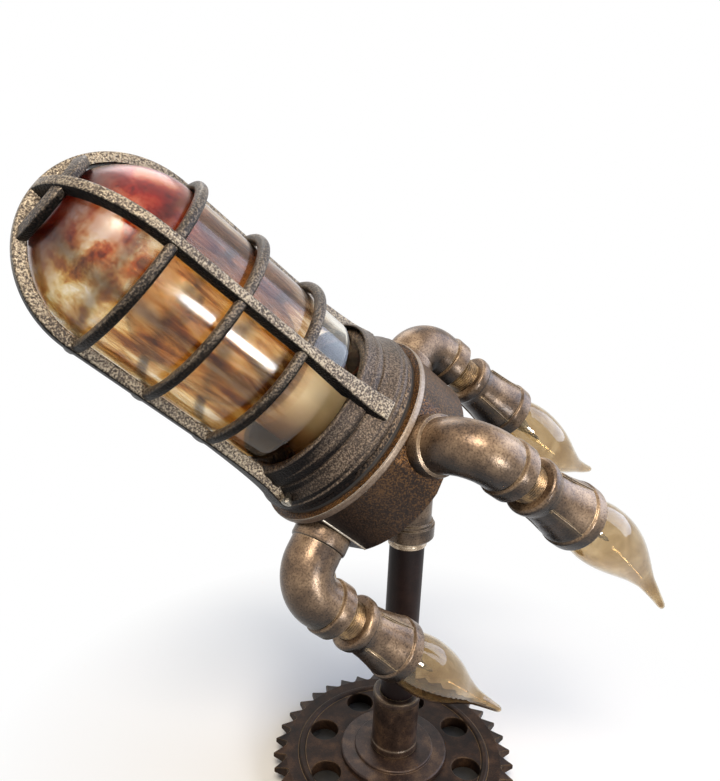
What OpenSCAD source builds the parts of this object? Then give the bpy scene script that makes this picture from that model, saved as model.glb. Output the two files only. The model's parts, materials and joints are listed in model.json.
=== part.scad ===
// Rocket table lamp built from pipe fittings: a caged vapour-tight light is the rocket,
// three flame bulbs on elbows are its thrusters, and a pole on a chain sprocket holds it up.
// Millimetres, +Z up, origin on the table under the middle of the sprocket.

/* [Base] */
// Diameter over the sprocket's teeth
sprocket_d = 157; // [145:1:175]
// Number of sprocket teeth
tooth_count = 38; // [32:1:44]
// Thickness of the sprocket plate
plate_t = 8; // [7:0.5:11]
// Height of the rubber feet
foot_h = 8; // [7:0.5:12]

/* [Stand] */
// Outside diameter of the pipe used all through the lamp
pipe_d = 21.3; // [20:0.1:22]
// Wall thickness of that pipe
pipe_wall = 2.8; // [2:0.1:3.4]
// Height of the stand elbow's bend above the sprocket's top face
bend_h = 190; // [175:1:230]
// Angle of the rocket's nose above level
rocket_tilt = 40; // [34:1:48]
// Distance along the rocket's axis from the elbow's bend to the box's rim
rim_to_bend = 61; // [60:0.5:66]

/* [Junction box] */
// How far the box's rim stands out past the guard's hoops
rim_step = 7.7; // [7.2:0.1:10]
// Depth of the box behind its rim
box_depth = 37.5; // [37:0.5:40]
// Turn of the top side hub from straight up, towards the near side
hub_phase = -24; // [-30:0.5:-20]

/* [Guard and globe] */
// Outside radius of the guard's hoops
hoop_r = 49.8; // [49:0.1:51]
// Distance between hoops
hoop_gap = 37.2; // [34:0.2:38]
// Distance from the rim to the lowest free hoop
hoop_low = 62.5; // [60:0.5:66]
// Wall thickness of the glass globe
globe_wall = 2.4; // [1.8:0.1:3]

/* [Thrusters] */
// Distance from the rocket's axis to the top thruster
reach_top = 77; // [76:0.5:92]
// Distance from the rocket's axis to the side thruster
reach_side = 85; // [76:0.5:92]
// Distance from the rocket's axis to the low thruster
reach_low = 85.5; // [80:0.5:92]
// Turn of the top elbow in its hub, where it was tightened
clock_top = -5; // [-8:0.5:8]
// Turn of the side elbow in its hub
clock_side = 5; // [-8:0.5:8]
// Turn of the low elbow in its hub
clock_low = -2; // [-3:0.5:8]
// Widest diameter of a flame bulb
flame_d = 35; // [32:0.5:36]
// Length of a flame bulb's glass
flame_len = 96; // [88:1:102]
// Bend of a flame bulb's tip at its end
tip_bend = 34; // [20:1:40]

/* [Hidden] */
$fn = 96;
// Smallest gap between pieces that turn past each other
turn_gap = 0.3;
// Gap in a running fit, on the radius
run_gap = 0.06;
// Gap round a piece that is screwed home
seat_gap = 0.04;
// Step and overlap where a straight run meets a bend
lap = 0.08;

// Base
face_z = foot_h + plate_t;
tip_r = sprocket_d / 2;
root_r = 0.9 * tip_r;
ridge_r = 0.765 * tip_r;
web_hole_pitch = 0.617 * tip_r;
web_hole_r = 0.117 * tip_r;
foot_pitch = 0.825 * tip_r;
base_hub_r = 0.44 * tip_r;
base_ring_r = 0.325 * tip_r;
web_hole_turn = 4.5;
shank_r = 12.6;
nut_h = 3.2;
hub_disc_h = 3;
hub_ring_h = 5;
hub_seat_z = foot_h + 4;

// Pipe and fittings
pipe_r = pipe_d / 2;
pipe_bore_r = pipe_r - pipe_wall;
fitting_r = pipe_r + 2.8;
elbow_r = pipe_r + 3.8;
band_r = pipe_r + 5.1;
coupling_h = 41;
coupling_z = face_z + hub_ring_h;
pole_z = coupling_z + coupling_h / 2 + turn_gap;
bend_z = face_z + bend_h;
stand_bend_r = 22;
stand_turn = 90 - rocket_tilt;
stand_tangent = stand_bend_r * tan(stand_turn / 2);
stand_leg = stand_tangent + 23;

// Junction box, measured along the rocket's axis from the rim
rim_r = hoop_r + rim_step;
drum_r = rim_r - 1;
flat_r = rim_r - 4;
cavity_r = rim_r - 11;
box_wall = 4;
hub_s = -21;
boss_r = 15;
boss_in_r = 38;
back_hub_r = 17;
back_hub_s = -box_depth - 8;
screw_pitch = rim_r - 7.5;
screw_r = 1.65;

// Light, measured the same way
plate_top = 1.2;
gasket_top = 2.7;
flange_top = 5.7;
holder_r = hoop_r - 3.3;
holder_in_r = holder_r - 6.3;
holder_top = 27;
globe_neck_r = holder_in_r - run_gap;
globe_r = hoop_r - 6.6;
bar_in_r = hoop_r - 5.5;
bar_out_r = hoop_r + 0.5;
bar_w = 6.5;
foot_w = 11;
bar_face_r = bar_out_r + 0.8;
hoop_wire = 2.8;
hoop_top = hoop_low + 2 * hoop_gap;
dome_s = hoop_top + 3;
base_hoop_s = 21.5;
bar_foot_top = hoop_low - 1.2;
strap_angle = 27;
skirt_low = flange_top + turn_gap;
bar_foot_low = skirt_low + 4.6;
set_screw_turn = 145;
set_screw_s = 13.5;
socket_r = 13.9;
shell_in_r = socket_r - 0.99;
shell_low = 13;
shell_top = 43;
lampholder_r = 25;
lampholder_top = shell_top + 2.5;
cap_low = shell_low + 4.5;
contact_top = shell_low + 2.2;
main_bulb_r = 31;
main_bulb_low = 76;
main_bulb_top = hoop_top - 33;

// Thrusters, measured along each one's axis from the elbow's corner
reach = [reach_top, reach_side, reach_low];
clock = [clock_top, clock_side, clock_low];
tip_turn = [-26, 74, -91];
tip_share = [1, 1.25, 0.75];
bend_r = 17;
elbow_len = 30.4;
reducer_z = 42.4;
reducer_len = 42.3;
reducer_end = reducer_z + reducer_len;
big_band_r = band_r + 2.85;
mouth_r = big_band_r - 5.4;
mouth_z = reducer_z + 16;
candle_z = reducer_end - 4.7;
candle_r = 5.9;
flame_r = flame_d / 2;
flame_end = candle_z + flame_len;
tip_len = 34;
tip_r0 = 10;
tip_mid = 16;
tip_mid_r = 4.6;
lead_r = 1.6;
supply_r = 2.4;
block_r = 14;

// Places

// Rocket frame: origin at the middle of the rim, +Z to the nose, +X up and square to the axis.
module in_rocket() {
    translate([0, 0, bend_z])
        rotate([0, rocket_tilt - 90, 0])
            translate([0, 0, rim_to_bend])
                children();
}

// Turns a piece about the rocket's axis to the angle of a side hub.
module at_hub(k) {
    rotate([0, 0, -hub_phase - 90 * k])
        children();
}

// Thruster frame: origin at the elbow's corner, -X towards the hub, -Z towards the bulb.
module in_thruster(k) {
    in_rocket()
        at_hub(k)
            translate([reach[k], 0, hub_s])
                rotate([clock[k], 0, 0])
                    children();
}

// The same frame turned so that +Z runs out along the thruster's axis.
module out_thruster(k) {
    in_thruster(k)
        rotate([180, 0, 0])
            children();
}

// Shared shapes

// Tube from z0 to z1.
module tube(r_out, r_in, z0, z1) {
    translate([0, 0, z0])
        difference() {
            cylinder(r = r_out, h = z1 - z0);
            translate([0, 0, -1])
                cylinder(r = r_in, h = z1 - z0 + 2);
        }
}

// Rod from z0 to z1.
module rod(r, z0, z1) {
    translate([0, 0, z0])
        cylinder(r = r, h = z1 - z0);
}

// Part of a ring of round bar that starts on +X and turns up towards +Z.
module bent_rod(r, bend, angle) {
    rotate([90, 0, 0])
        rotate_extrude(angle = angle)
            translate([bend, 0])
                circle(r = r);
}

function polar(r, a) = [r * cos(a), r * sin(a)];

// Point on a cubic curve between p[0] and p[3].
function curve(p, t) =
    pow(1 - t, 3) * p[0] + 3 * t * pow(1 - t, 2) * p[1] + 3 * t * t * (1 - t) * p[2] + pow(t, 3) * p[3];

// Base

// Four rubber bumpers stuck under the plate.
module foot_pads() {
    color("#1c1b1a")
        for (k = [0:3])
            rotate([0, 0, 45 + 90 * k])
                translate([foot_pitch - 5, 0, 0])
                    cylinder(r1 = 5.4, r2 = 6.4, h = foot_h);
}

// One sprocket tooth, from the bottom of one gullet to the next.
function tooth(a) = [
    polar(root_r, a - 180 / tooth_count),
    polar(root_r + 0.5, a - 130 / tooth_count),
    polar(root_r + 2.4, a - 92 / tooth_count),
    polar(tip_r - 2.6, a - 42 / tooth_count),
    polar(tip_r, a - 15 / tooth_count),
    polar(tip_r, a + 15 / tooth_count),
    polar(tip_r - 2.6, a + 42 / tooth_count),
    polar(root_r + 2.4, a + 92 / tooth_count),
    polar(root_r + 0.5, a + 130 / tooth_count)
];

// Chain sprocket laid flat: pointed teeth, a ridge inside them and eight lightening holes.
module sprocket_base() {
    color("#3a2a22")
        difference() {
            union() {
                translate([0, 0, foot_h])
                    linear_extrude(plate_t)
                        polygon([for (k = [0:tooth_count - 1]) each tooth(360 * k / tooth_count)]);
                translate([0, 0, face_z])
                    rotate_extrude()
                        translate([ridge_r, 0])
                            polygon([[-2.4, -1], [-2.4, 0], [-1.2, 1.6], [1.2, 1.6], [2.4, 0], [2.4, -1]]);
            }
            for (k = [0:7])
                rotate([0, 0, web_hole_turn + 45 * k])
                    translate([web_hole_pitch, 0, foot_h - 1])
                        cylinder(r = web_hole_r, h = plate_t + 2);
            translate([0, 0, foot_h - 1])
                cylinder(r = shank_r + seat_gap, h = plate_t + 2);
        }
}

// Stepped hub: a shank through the plate and two raised discs, bored for the nipple.
module base_hub() {
    color("#40302a")
        rotate_extrude()
            polygon([
                [pipe_bore_r, foot_h - nut_h - 0.6], [shank_r, foot_h - nut_h - 0.6], [shank_r, face_z],
                [base_hub_r, face_z], [base_hub_r, face_z + hub_disc_h - 0.8],
                [base_hub_r - 0.8, face_z + hub_disc_h], [base_ring_r, face_z + hub_disc_h],
                [base_ring_r, face_z + hub_ring_h - 0.6], [base_ring_r - 0.6, face_z + hub_ring_h],
                [pipe_r + seat_gap, face_z + hub_ring_h], [pipe_r + seat_gap, hub_seat_z], [pipe_bore_r, hub_seat_z]
            ]);
}

// Nipple screwed into the hub, with the coupling on its upper end.
module base_nipple() {
    color("#8a8378")
        tube(pipe_r, pipe_bore_r, hub_seat_z, pole_z - turn_gap);
}

// Thin hexagon nut that draws the hub down on the plate.
module base_locknut() {
    color("#8a8378")
        translate([0, 0, foot_h - nut_h])
            difference() {
                cylinder(r = shank_r + 6.5, h = nut_h, $fn = 6);
                translate([0, 0, -1])
                    cylinder(r = shank_r + seat_gap, h = nut_h + 2);
            }
}

// Rubber bush in the bottom of the hub, where the lead comes out.
module cord_grommet() {
    color("#1c1b1a")
        rotate_extrude()
            polygon([
                [4, foot_h - nut_h - 2.4], [pipe_bore_r + 2.4, foot_h - nut_h - 2.4],
                [pipe_bore_r + 2.4, foot_h - nut_h - 0.6], [pipe_bore_r - seat_gap, foot_h - nut_h - 0.6],
                [pipe_bore_r - seat_gap, foot_h + 3], [4, foot_h + 3]
            ]);
}

// Banded pipe coupling on the base nipple. The pole turns in its upper half.
module base_coupling() {
    color("#4a3526")
        translate([0, 0, coupling_z])
            rotate_extrude()
                polygon([
                    [pipe_r + run_gap, 0], [pipe_r + 4, 0], [pipe_r + 4.5, 0.5], [pipe_r + 4.5, 4.5],
                    [pipe_r + 3.9, 5.4], [pipe_r + 3.9, coupling_h - 5.4], [pipe_r + 4.5, coupling_h - 4.5],
                    [pipe_r + 4.5, coupling_h - 0.5], [pipe_r + 4, coupling_h], [pipe_r + run_gap, coupling_h]
                ]);
}

// Stand

// Steel pipe from the coupling up into the stand elbow.
module pole() {
    color("#231a18")
        tube(pipe_r, pipe_bore_r, pole_z, bend_z - stand_tangent - 6);
}

// Bright ring that locks the pole under the elbow.
module pole_ring() {
    color("#b9a58d")
        tube(pipe_r + 1.1, pipe_r + seat_gap, bend_z - stand_leg - 5.5, bend_z - stand_leg);
}

// Banded elbow that turns the stand from upright into the rocket's axis.
module stand_elbow() {
    color("#6b5140")
        difference() {
            union() {
                stand_bend(fitting_r);
                rod(fitting_r + lap, bend_z - stand_leg, bend_z - stand_tangent + lap);
                rod(band_r, bend_z - stand_leg, bend_z - stand_leg + 9);
                rod(fitting_r + 1.1, bend_z - stand_leg + 8.5, bend_z - stand_leg + 11);
                in_rocket()
                    rod(band_r, stand_tangent - rim_to_bend - lap, back_hub_s);
            }
            stand_bend(pipe_bore_r);
            rod(pipe_bore_r + lap, bend_z - stand_tangent - 8, bend_z - stand_tangent + lap);
            rod(pipe_r + seat_gap, bend_z - stand_leg - 1, bend_z - stand_tangent - 6);
            in_rocket()
                rod(pipe_r + seat_gap, stand_tangent - rim_to_bend - lap, back_hub_s + 1);
        }
}

// Round bar bent through the stand's angle, from upright into the rocket's axis.
module stand_bend(r) {
    translate([-stand_bend_r, 0, bend_z - stand_tangent])
        bent_rod(r, stand_bend_r, stand_turn);
}

// Short nipple that joins the elbow to the hub on the back of the box.
module stand_nipple() {
    color("#8a8378")
        in_rocket()
            tube(pipe_r, pipe_bore_r, stand_tangent - rim_to_bend, -box_depth + 0.5);
}

// Twin lead from the terminal block, round the bend and down the pole.
module supply_lead() {
    color("#3b3b3d")
        union() {
            stand_bend(supply_r - lap);
            rod(supply_r, pole_z + 2, bend_z - stand_tangent + lap);
            in_rocket()
                rod(supply_r, stand_tangent - rim_to_bend - lap, hub_s - 6);
        }
}

// Junction box

// Cast drum with a rim, a flat and a bored boss at each side hub, and a hub on its back.
module junction_box() {
    color("#5a4630")
        in_rocket()
            difference() {
                union() {
                    rod(drum_r, -box_depth, -2);
                    rod(rim_r, -4, 0);
                    rod(back_hub_r, back_hub_s, -box_depth + 1);
                }
                for (k = [0:3])
                    at_hub(k)
                        translate([flat_r, -30, -box_depth - 1])
                            cube([20, 60, box_depth - 4]);
                difference() {
                    rod(cavity_r, -box_depth + box_wall, 1);
                    for (k = [0:3])
                        at_hub(k)
                            translate([boss_in_r, 0, hub_s])
                                rotate([0, 90, 0])
                                    cylinder(r = boss_r, h = 40);
                }
                for (k = [0:3])
                    at_hub(k)
                        translate([boss_in_r - 5, 0, hub_s])
                            rotate([0, 90, 0])
                                cylinder(r = pipe_r, h = 40);
                rod(pipe_r + seat_gap, back_hub_s - 1, -box_depth + box_wall + 1);
                screw_ring()
                    rod(screw_r + seat_gap, -11, 1);
            }
}

// Puts a piece at each of the four holder screws, between the hubs.
module screw_ring() {
    for (k = [0:3])
        at_hub(k + 0.5)
            translate([screw_pitch, 0, 0])
                children();
}

// Plug with a square socket that closes the unused hub on the far side.
module hub_plug() {
    color("#5c4a3a")
        in_rocket()
            at_hub(3)
                translate([0, 0, hub_s])
                    rotate([0, 90, 0])
                        difference() {
                            union() {
                                rod(pipe_r - seat_gap, flat_r - 13, flat_r + 1);
                                rod(boss_r - 1, flat_r, flat_r + 5);
                            }
                            translate([-4.5, -4.5, flat_r - 4])
                                cube([9, 9, 12]);
                        }
}

// Insulated block under the plate, where all the leads meet.
module terminal_block() {
    color("#d9d2c4")
        in_rocket()
            rod(block_r, hub_s - 6, 0);
}

// Reflector plate between box and holder that carries the lampholder and the block.
module lampholder_plate() {
    color("#e4d9c2")
        in_rocket()
            difference() {
                rod(rim_r - 3.8, 0, plate_top);
                screw_ring()
                    rod(screw_r + seat_gap, -1, plate_top + 1);
            }
}

// Flat gasket that seals the holder to the box.
module box_gasket() {
    color("#1f1e1d")
        in_rocket()
            difference() {
                tube(rim_r - 3.8, holder_in_r, plate_top, gasket_top);
                screw_ring()
                    rod(screw_r + seat_gap, 0, 5);
            }
}

// Flanged ring: the guard screws on its outside and the globe into its bore.
module globe_holder() {
    color("#3c2f24")
        in_rocket()
            difference() {
                rotate_extrude()
                    polygon([
                        [holder_in_r - 6, gasket_top], [rim_r - 3.4, gasket_top], [rim_r - 3.4, flange_top],
                        [holder_r, flange_top], [holder_r, holder_top], [holder_in_r, holder_top],
                        [holder_in_r, gasket_top + 1.5], [holder_in_r - 6, gasket_top + 1.5]
                    ]);
                screw_ring()
                    rod(screw_r + seat_gap, 0, 9);
            }
}

// Four slotted screws through the flange into the box.
module holder_screws() {
    color("#b8b0a2")
        in_rocket()
            screw_ring()
                difference() {
                    union() {
                        rod(screw_r, -10, flange_top + 0.5);
                        rod(2.5, flange_top, flange_top + 1.9);
                    }
                    translate([-3, -0.35, flange_top + 1])
                        cube([6, 0.7, 2]);
                }
}

// Ring under the globe's lip.
module globe_gasket() {
    color("#6a2a1c")
        in_rocket()
            tube(globe_neck_r - 0.3, holder_in_r - 5.5, gasket_top + 1.5, gasket_top + 3.2);
}

// Light

// Porcelain lampholder standing on the plate, with moulded rings.
module lampholder() {
    color("#e9dcc0")
        in_rocket()
            difference() {
                rotate_extrude()
                    polygon([
                        [0, plate_top], [lampholder_r + 2, plate_top], [lampholder_r + 2, shell_low - 3],
                        [lampholder_r, shell_low - 1], [lampholder_r, shell_top - 5], [lampholder_r - 1, shell_top - 3],
                        [lampholder_r - 1, shell_top + 1], [lampholder_r - 2.5, lampholder_top],
                        [socket_r, lampholder_top], [socket_r, shell_low], [0, shell_low]
                    ]);
                rod(1.5, 0, shell_low + 1);
            }
}

// Brass screw shell in the lampholder.
module lampholder_shell() {
    color("#c9a24a")
        in_rocket()
            tube(socket_r - seat_gap, shell_in_r, shell_low, shell_top);
}

// Centre contact at the bottom of the lampholder.
module lampholder_contact() {
    color("#c9a24a")
        in_rocket() {
            rod(3.6, shell_low, contact_top);
            rod(1.4, plate_top + 0.8, shell_low + 0.5);
        }
}

// Amber bulb: a rounded tube of thin glass on a short neck.
module main_bulb_glass() {
    color("#c98a3a", 0.6)
        in_rocket()
            difference() {
                main_bulb_form(0);
                main_bulb_form(0.9);
            }
}

// The bulb's outline, drawn in by the given depth.
module main_bulb_form(inset) {
    rod(socket_r - 0.5 - inset, shell_top - (inset > 0 ? 1 : 0), main_bulb_low - 20);
    rod(main_bulb_r - inset, main_bulb_low, main_bulb_top);
    for (s = [main_bulb_low, main_bulb_top])
        translate([0, 0, s])
            sphere(r = main_bulb_r - inset);
}

// Brass screw cap of the main bulb, with its centre tip.
module main_bulb_base() {
    color("#c9a24a")
        in_rocket() {
            rod(shell_in_r - run_gap, cap_low, shell_top);
            rod(4.5, contact_top + turn_gap, cap_low + 0.5);
        }
}

// Glass stem and mast inside the main bulb, with two filament rings.
module main_bulb_stem() {
    color("#d8cdb4")
        in_rocket() {
            translate([0, 0, shell_top])
                cylinder(r1 = 8, r2 = 3, h = 22);
            rod(1.2, shell_top + 17, main_bulb_top + 6);
            for (s = [main_bulb_low + 4, main_bulb_top])
                rotate_extrude()
                    translate([9, s])
                        circle(r = 0.7, $fn = 16);
            for (s = [main_bulb_low + 4, main_bulb_top])
                translate([-9, 0, s])
                    rotate([0, 90, 0])
                        cylinder(r = 0.7, h = 18, $fn = 16);
        }
}

// Domed glass jar that screws into the holder over the main bulb.
module globe() {
    color("#dfe6e4", 0.35)
        in_rocket()
            difference() {
                globe_form(0);
                globe_form(globe_wall);
            }
}

// The globe's outline, drawn in by the given depth.
module globe_form(inset) {
    lip = gasket_top + 3.2 + turn_gap;
    rod(globe_neck_r - inset, lip - (inset > 0 ? 1 : 0), holder_top + 1);
    translate([0, 0, holder_top + 1])
        cylinder(r1 = globe_neck_r - inset, r2 = globe_r - inset, h = 5);
    rod(globe_r - inset, holder_top + 6, dome_s - 2);
    translate([0, 0, dome_s - 2])
        sphere(r = globe_r - inset);
}

// Cast guard: four bars that meet at the nose, three hoops, a nose ring and a threaded skirt.
module guard_cage() {
    color("#6a5238")
        in_rocket()
            difference() {
                union() {
                    guard_skirt();
                    for (s = [base_hoop_s, hoop_low, hoop_low + hoop_gap, hoop_top])
                        translate([0, 0, s])
                            hoop(hoop_r - hoop_wire);
                    translate([0, 0, dome_s + (bar_in_r + 2) * cos(strap_angle)])
                        hoop((bar_in_r + 2) * sin(strap_angle));
                    for (k = [0:3])
                        at_hub(k)
                            guard_bar();
                }
                rod(holder_r + run_gap, -1, holder_top + turn_gap);
                set_screw_place()
                    rod(1.65, holder_r - 2, rim_r);
            }
}

// Ring of round bar about the axis.
module hoop(r) {
    rotate_extrude()
        translate([r, 0])
            circle(r = hoop_wire);
}

// Skirt below the hoops: stepped outside, with room inside for the holder's screw heads.
module guard_skirt() {
    rotate_extrude()
        polygon([
            [rim_r - 4.4, skirt_low], [rim_r - 2.8, skirt_low], [rim_r - 2.8, skirt_low + 2.6],
            [rim_r - 3.8, skirt_low + 3.4], [rim_r - 3.8, skirt_low + 5], [hoop_r - 0.6, base_hoop_s - 3],
            [hoop_r - 0.6, base_hoop_s + 3], [holder_r + 1, holder_top + 3], [holder_r - 1, holder_top + 3],
            [holder_r - 1, skirt_low + 4.4], [rim_r - 4.4, skirt_low + 3.2]
        ]);
}

// One bar: a widened foot over the skirt, a straight run and a quarter turn to the nose.
module guard_bar() {
    translate([bar_in_r, -bar_w / 2, base_hoop_s])
        cube([bar_out_r - bar_in_r, bar_w, dome_s - base_hoop_s]);
    translate([0, 0, dome_s])
        rotate([90, 0, 0])
            translate([0, 0, -bar_w / 2])
                rotate_extrude(angle = 90)
                    translate([bar_in_r, 0])
                        square([bar_out_r - bar_in_r, bar_w]);
    translate([bar_in_r, 0, 0])
        rotate([90, 0, 90])
            linear_extrude(bar_face_r - bar_in_r)
                polygon([
                    [-foot_w / 2, bar_foot_low], [foot_w / 2, bar_foot_low], [foot_w / 2, skirt_low + 10],
                    [bar_w / 2, bar_foot_top], [-bar_w / 2, bar_foot_top], [-foot_w / 2, skirt_low + 10]
                ]);
}

// Turns a piece so that +Z points outward through the skirt at the set screw.
module set_screw_place() {
    rotate([0, 0, -set_screw_turn])
        translate([0, 0, set_screw_s])
            rotate([0, 90, 0])
                children();
}

// Slotted thumb screw that locks the guard on the holder.
module guard_set_screw() {
    color("#c8bfae")
        in_rocket()
            set_screw_place()
                difference() {
                    union() {
                        rod(1.65 - run_gap, holder_r + turn_gap, rim_r - 3);
                        rod(2.7, rim_r - 3.3, rim_r - 1.3);
                    }
                    translate([-3, -0.4, rim_r - 2.2])
                        cube([6, 0.8, 3]);
                }
}

// Thrusters

// Street elbow: collar and shank at the hub, a quarter turn, a throat web and a banded end.
module elbow(k) {
    leg = reach[k] - flat_r;
    web = min(24, leg - 1);
    color("#7a5a3c")
        in_thruster(k)
            difference() {
                union() {
                    translate([-bend_r, 0, -bend_r])
                        bent_rod(elbow_r, bend_r, 90);
                    rotate([0, -90, 0]) {
                        rod(elbow_r, bend_r, leg);
                        rod(band_r + 0.5, leg - 8, leg);
                        rod(pipe_r - seat_gap, leg - 1, leg + 12);
                    }
                    rod(elbow_r, -elbow_len, -bend_r);
                    rod(band_r, -elbow_len, -elbow_len + 9);
                    rotate([90, 0, 0])
                        translate([0, 0, -2.6])
                            linear_extrude(5.2)
                                polygon([[-10, -10], [-web, -10], [-10, -24]]);
                }
                translate([-bend_r, 0, -bend_r])
                    bent_rod(pipe_bore_r - 0.4, bend_r, 90);
                rotate([0, -90, 0])
                    rod(pipe_bore_r - 0.4, bend_r - 0.01, leg + 13);
                rod(pipe_bore_r - 0.4, -bend_r - 4, -bend_r + 0.01);
                rod(pipe_r + seat_gap, -elbow_len - 1, -bend_r - 3);
            }
}

// Threaded nipple between elbow and reducer.
module nipple(k) {
    color("#8c7a66")
        out_thruster(k)
            tube(pipe_r, pipe_bore_r, bend_r + 3, reducer_z + 11);
}

// Ribbed bell reducer with a band at each end. Its wide mouth holds the candle socket.
module reducer(k) {
    color("#84664a")
        out_thruster(k)
            difference() {
                union() {
                    translate([0, 0, reducer_z])
                        rotate_extrude()
                            polygon([
                                [pipe_r + seat_gap, 0], [band_r - 0.8, 0], [band_r - 0.3, 0.6],
                                [band_r - 0.3, 6.6], [band_r - 1.4, 7.8], [band_r - 1.6, 10],
                                [band_r - 0.9, 18], [band_r + 0.5, 26], [big_band_r - 1.4, 31],
                                [big_band_r - 0.9, 33], [big_band_r, 33.8], [big_band_r, 41.4],
                                [big_band_r - 0.8, reducer_len], [mouth_r, reducer_len], [mouth_r, 16],
                                [pipe_bore_r, 16], [pipe_bore_r, 11], [pipe_r + seat_gap, 11]
                            ]);
                    for (a = [0:90:270])
                        rotate([0, 0, 45 + a])
                            rotate([90, 0, 0])
                                translate([0, 0, -1.3])
                                    linear_extrude(2.6)
                                        polygon([
                                            [mouth_r + 0.4, mouth_z - 0.5], [mouth_r + 0.4, reducer_z + 34],
                                            [big_band_r - 0.3, reducer_z + 34], [band_r - 0.4, reducer_z + 8],
                                            [pipe_r + 1, reducer_z + 8], [pipe_r + 1, mouth_z - 0.5]
                                        ]);
                }
            }
}

// Lead from the block, through the elbow, to the back of the candle socket.
module lead(k) {
    color("#3b3b3d")
        in_thruster(k)
            union() {
                translate([-bend_r, 0, -bend_r])
                    bent_rod(lead_r - lap, bend_r, 90);
                rotate([0, -90, 0])
                    rod(lead_r, bend_r - lap, reach[k] - block_r - seat_gap);
                rod(lead_r, -mouth_z, -bend_r + lap);
            }
}

// Moulded candle socket pushed into the reducer's mouth.
module candle_socket(k) {
    color("#2a2522")
        out_thruster(k)
            difference() {
                rod(mouth_r - seat_gap, mouth_z, candle_z);
                rod(candle_r + 0.6, mouth_z + 3, candle_z + 1);
            }
}

// Brass screw shell in the candle socket.
module candle_shell(k) {
    color("#c9a24a")
        out_thruster(k)
            tube(candle_r + 0.6 - seat_gap, candle_r + run_gap, mouth_z + 3, candle_z - 0.5);
}

// Flame-shaped bulb of thin glass with a bent tip.
module flame_glass(k) {
    color("#cdb480", 0.6)
        out_thruster(k)
            difference() {
                union() {
                    rotate_extrude()
                        polygon(flame_outline(0));
                    flame_tip(k);
                }
                rotate_extrude()
                    polygon(flame_outline(0.8));
            }
}

// Half outline of the flame, drawn in by the given depth: a round shoulder and a long taper.
function flame_outline(inset) =
    let (
        z0 = candle_z + turn_gap + (inset > 0 ? -1 : 0),
        wide_z = candle_z + 0.28 * flame_len,
        end_z = flame_end - tip_len,
        low = [[candle_r + 0.6 - inset, z0], [11 - inset, candle_z + 0.5], [flame_r - inset, candle_z + 12],
               [flame_r - inset, wide_z]],
        high = [[flame_r - inset, wide_z], [flame_r - inset, wide_z + 0.16 * flame_len],
                [tip_r0 + 4 - inset, end_z - 0.1 * flame_len], [tip_r0 - inset, end_z]]
    )
    concat([[0, z0]], [for (t = [0:0.1:0.9]) curve(low, t)], [for (t = [0:0.1:1]) curve(high, t)], [[0, end_z]]);

// The drawn-out tip, leaning further over in its outer half.
module flame_tip(k) {
    lean = tip_share[k] * tip_bend;
    translate([0, 0, flame_end - tip_len])
        rotate([0, 0, tip_turn[k]]) {
            sphere(r = tip_r0 + 0.15);
            rotate([0, 0.38 * lean, 0]) {
                cylinder(r1 = tip_r0, r2 = tip_mid_r, h = tip_mid);
                translate([0, 0, tip_mid]) {
                    sphere(r = tip_mid_r + 0.15);
                    rotate([0, 0.62 * lean, 0]) {
                        cylinder(r1 = tip_mid_r, r2 = 1.4, h = tip_len - tip_mid);
                        translate([0, 0, tip_len - tip_mid])
                            sphere(r = 1.55);
                    }
                }
            }
        }
}

// Brass candle cap of a flame bulb.
module flame_base(k) {
    color("#c9a24a")
        out_thruster(k)
            rod(candle_r, mouth_z + 3 + turn_gap, candle_z + turn_gap);
}

// Grey glass stem and filament mast inside a flame bulb.
module flame_stem(k) {
    color("#9a958c")
        out_thruster(k) {
            translate([0, 0, candle_z + turn_gap])
                cylinder(r1 = 5.3, r2 = 1.6, h = 27);
            rod(0.8, candle_z + 22, candle_z + 0.4 * flame_len);
        }
}

// Nodes

foot_pads();
sprocket_base();
base_hub();
base_nipple();
base_locknut();
cord_grommet();
base_coupling();
pole();
pole_ring();
stand_elbow();
stand_nipple();
supply_lead();
junction_box();
hub_plug();
terminal_block();
lampholder_plate();
box_gasket();
globe_holder();
holder_screws();
globe_gasket();
lampholder();
lampholder_shell();
lampholder_contact();
main_bulb_glass();
main_bulb_base();
main_bulb_stem();
globe();
guard_cage();
guard_set_screw();
for (k = [0:2]) {
    elbow(k);
    nipple(k);
    reducer(k);
    lead(k);
    candle_socket(k);
    candle_shell(k);
    flame_glass(k);
    flame_base(k);
    flame_stem(k);
}
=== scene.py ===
import json
import math

import bmesh
import bpy
from mathutils import Matrix, Vector


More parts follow.
